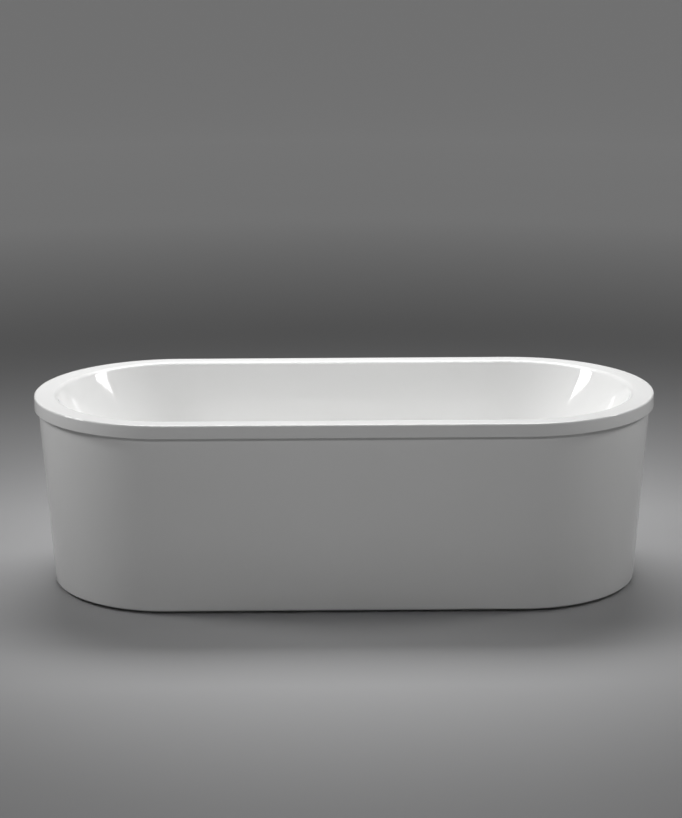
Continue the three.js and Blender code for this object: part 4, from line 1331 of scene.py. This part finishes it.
for (x, y), (low, high) in footBoxes.items():
    corner, centre, f = cornerName(x, y), footCentres[x, y], foot
    place, body = at(centre.x, centre.y), "foot_" + corner
    pad = turned(padProfile(low.z, high.z, (high.x - low.x) / 2), f["grips"] * 8, gripped)
    stand("foot_pad_" + corner, pad.placed(place), body)
    bottom, top = heights("foot_stud_" + corner)
    groove = threaded(f["pitch"], f["threadDepth"], f["stud"], f["hexHigh"] + 0.002, top - 0.001)
    stud = turned(threadProfile(f["stud"], bottom, top, f["pitch"], 0.0009), 30, groove)
    flats = turned(hexProfile(0, f["hexLow"], f["hexHigh"]), 72, sixSided)
    stand("foot_stud_" + corner, stud.placed(place), body, joins=[flats.placed(place)])
    bottom, top = heights("foot_lock_nut_" + corner)
    nut = turned(hexProfile(f["stud"] + 0.0004, bottom, top), 72, sixSided)
    stand("foot_lock_nut_" + corner, nut.placed(place))
print("feet made")

# Floor, light and camera

studio = {
    "floorShade": (0.41, 0.41, 0.415),
    "roomRadius": 12.0,
    "coveRadius": 3.0,
    "roomHeight": 6.0,
    "roomSides": 96,
    "roomGlow": 0.13,
    "glowFrom": 0.14,
    "glowFull": 0.5,
    "airColour": (0.9, 0.92, 0.95, 1),
    "airLight": 0.01,
    "ceiling": 35.0,
    "front": 2.3,
    "leftEnd": 5.8,
    "rightEnd": 4.0,
}


def studioRoom():
    # a round level floor that sweeps up into a wall, faintly lit from within far from the bath
    turn = np.linspace(0, right, 16)
    reach, bend = studio["roomRadius"], studio["coveRadius"]
    r = np.concatenate([[0.01, 1, 2, 3, 4, 6], reach - bend + bend * np.sin(turn), [reach]])
    z = np.concatenate([np.zeros(6), bend * (1 - np.cos(turn)), [studio["roomHeight"]]])
    sides = studio["roomSides"]
    around = np.arange(sides)[None, :] / sides * tau
    x, y = r[:, None] * np.cos(around), r[:, None] * np.sin(around)
    points = np.stack(np.broadcast_arrays(x, y, z[:, None]), -1)
    faces = [*gridFaces(len(r), sides, False, True).tolist(), list(range(sides))]
    mesh = bpy.data.meshes.new("studioRoom")
    mesh.from_pydata(points.reshape(-1, 3), [], faces)
    mesh.shade_smooth()
    look = Look("roomPaint", roughness=0.6, emission_strength=1.0)
    darker = tuple(0.95 * shade for shade in studio["floorShade"])
    away = look.node("ShaderNodeVectorMath", {"operation": "LENGTH"}, {0: look.place}, "Value")
    glow = look.ramp(away / reach, (studio["glowFrom"], 0.0), (studio["glowFull"], 1.0))
    look.set(
        base_color=look.mix(look.noise(1.4, 3.0), studio["floorShade"], darker),
        emission_color=look.mix(glow, (0.0, 0.0, 0.0), (studio["roomGlow"],) * 3),
    )
    look.material.cycles.emission_sampling = "NONE"  # it is a weak glow, not a lamp
    mesh.materials.append(look.material)
    made = bpy.data.objects.new("studioRoom", mesh)
    bpy.context.scene.collection.objects.link(made)


def panel(name, place, aim, width, height, power, spread):
    light = bpy.data.lights.new(name, "AREA")
    light.shape, light.size, light.size_y, light.energy = "RECTANGLE", width, height, power
    light.spread = math.radians(spread)
    made = bpy.data.objects.new(name, light)
    made.location = place
    made.rotation_euler = (Vector(aim) - Vector(place)).to_track_quat("-Z", "Y").to_euler()
    made.visible_camera = False
    bpy.context.scene.collection.objects.link(made)


studioRoom()
panel("ceiling", (0, 1.0, 2.8), (0, 0.1, 0.5), 2.6, 1.0, studio["ceiling"], 120)
panel("front", (0, -2.8, 2.6), (0, -0.2, 0.5), 2.6, 0.6, studio["front"], 45)
panel("leftEnd", (-2.8, 0.1, 2.2), (0.5, 0, 0.45), 0.8, 0.8, studio["leftEnd"], 60)
panel("rightEnd", (2.8, 0.1, 2.2), (-0.5, 0, 0.45), 0.8, 0.8, studio["rightEnd"], 60)

world = bpy.data.worlds.new("studioAir")
world.use_nodes = True
world.node_tree.nodes["Background"].inputs[0].default_value = studio["airColour"]
world.node_tree.nodes["Background"].inputs[1].default_value = studio["airLight"]
bpy.context.scene.world = world
bpy.context.scene.view_settings.view_transform = "Standard"

lens = {
    "focal": 103.79,
    "place": (-0.0555, -6.6546, 2.244),
    "down": 0.25549,
    "turn": 0.00697,
    "roll": -0.00462,
    "sensor": 36,
}


def lookout():
    # the camera's right, up and back from its turn about Z, its tilt down and its roll
    s, c = math.sin(lens["down"]), math.cos(lens["down"])
    st, ct = math.sin(lens["turn"]), math.cos(lens["turn"])
    level, up, ahead = Vector((ct, -st, 0)), Vector((s * st, s * ct, c)), Vector((c * st, c * ct, -s))
    sr, cr = math.sin(lens["roll"]), math.cos(lens["roll"])
    level, up = level * cr + up * sr, up * cr - level * sr
    data = bpy.data.cameras.new("lookout")
    data.sensor_width, data.lens = lens["sensor"], lens["focal"]
    made = bpy.data.objects.new("lookout", data)
    made.matrix_world = at(*lens["place"]) @ Matrix((level, up, -ahead)).transposed().to_4x4()
    bpy.context.scene.collection.objects.link(made)
    bpy.context.scene.camera = made


lookout()
print("scene ready")
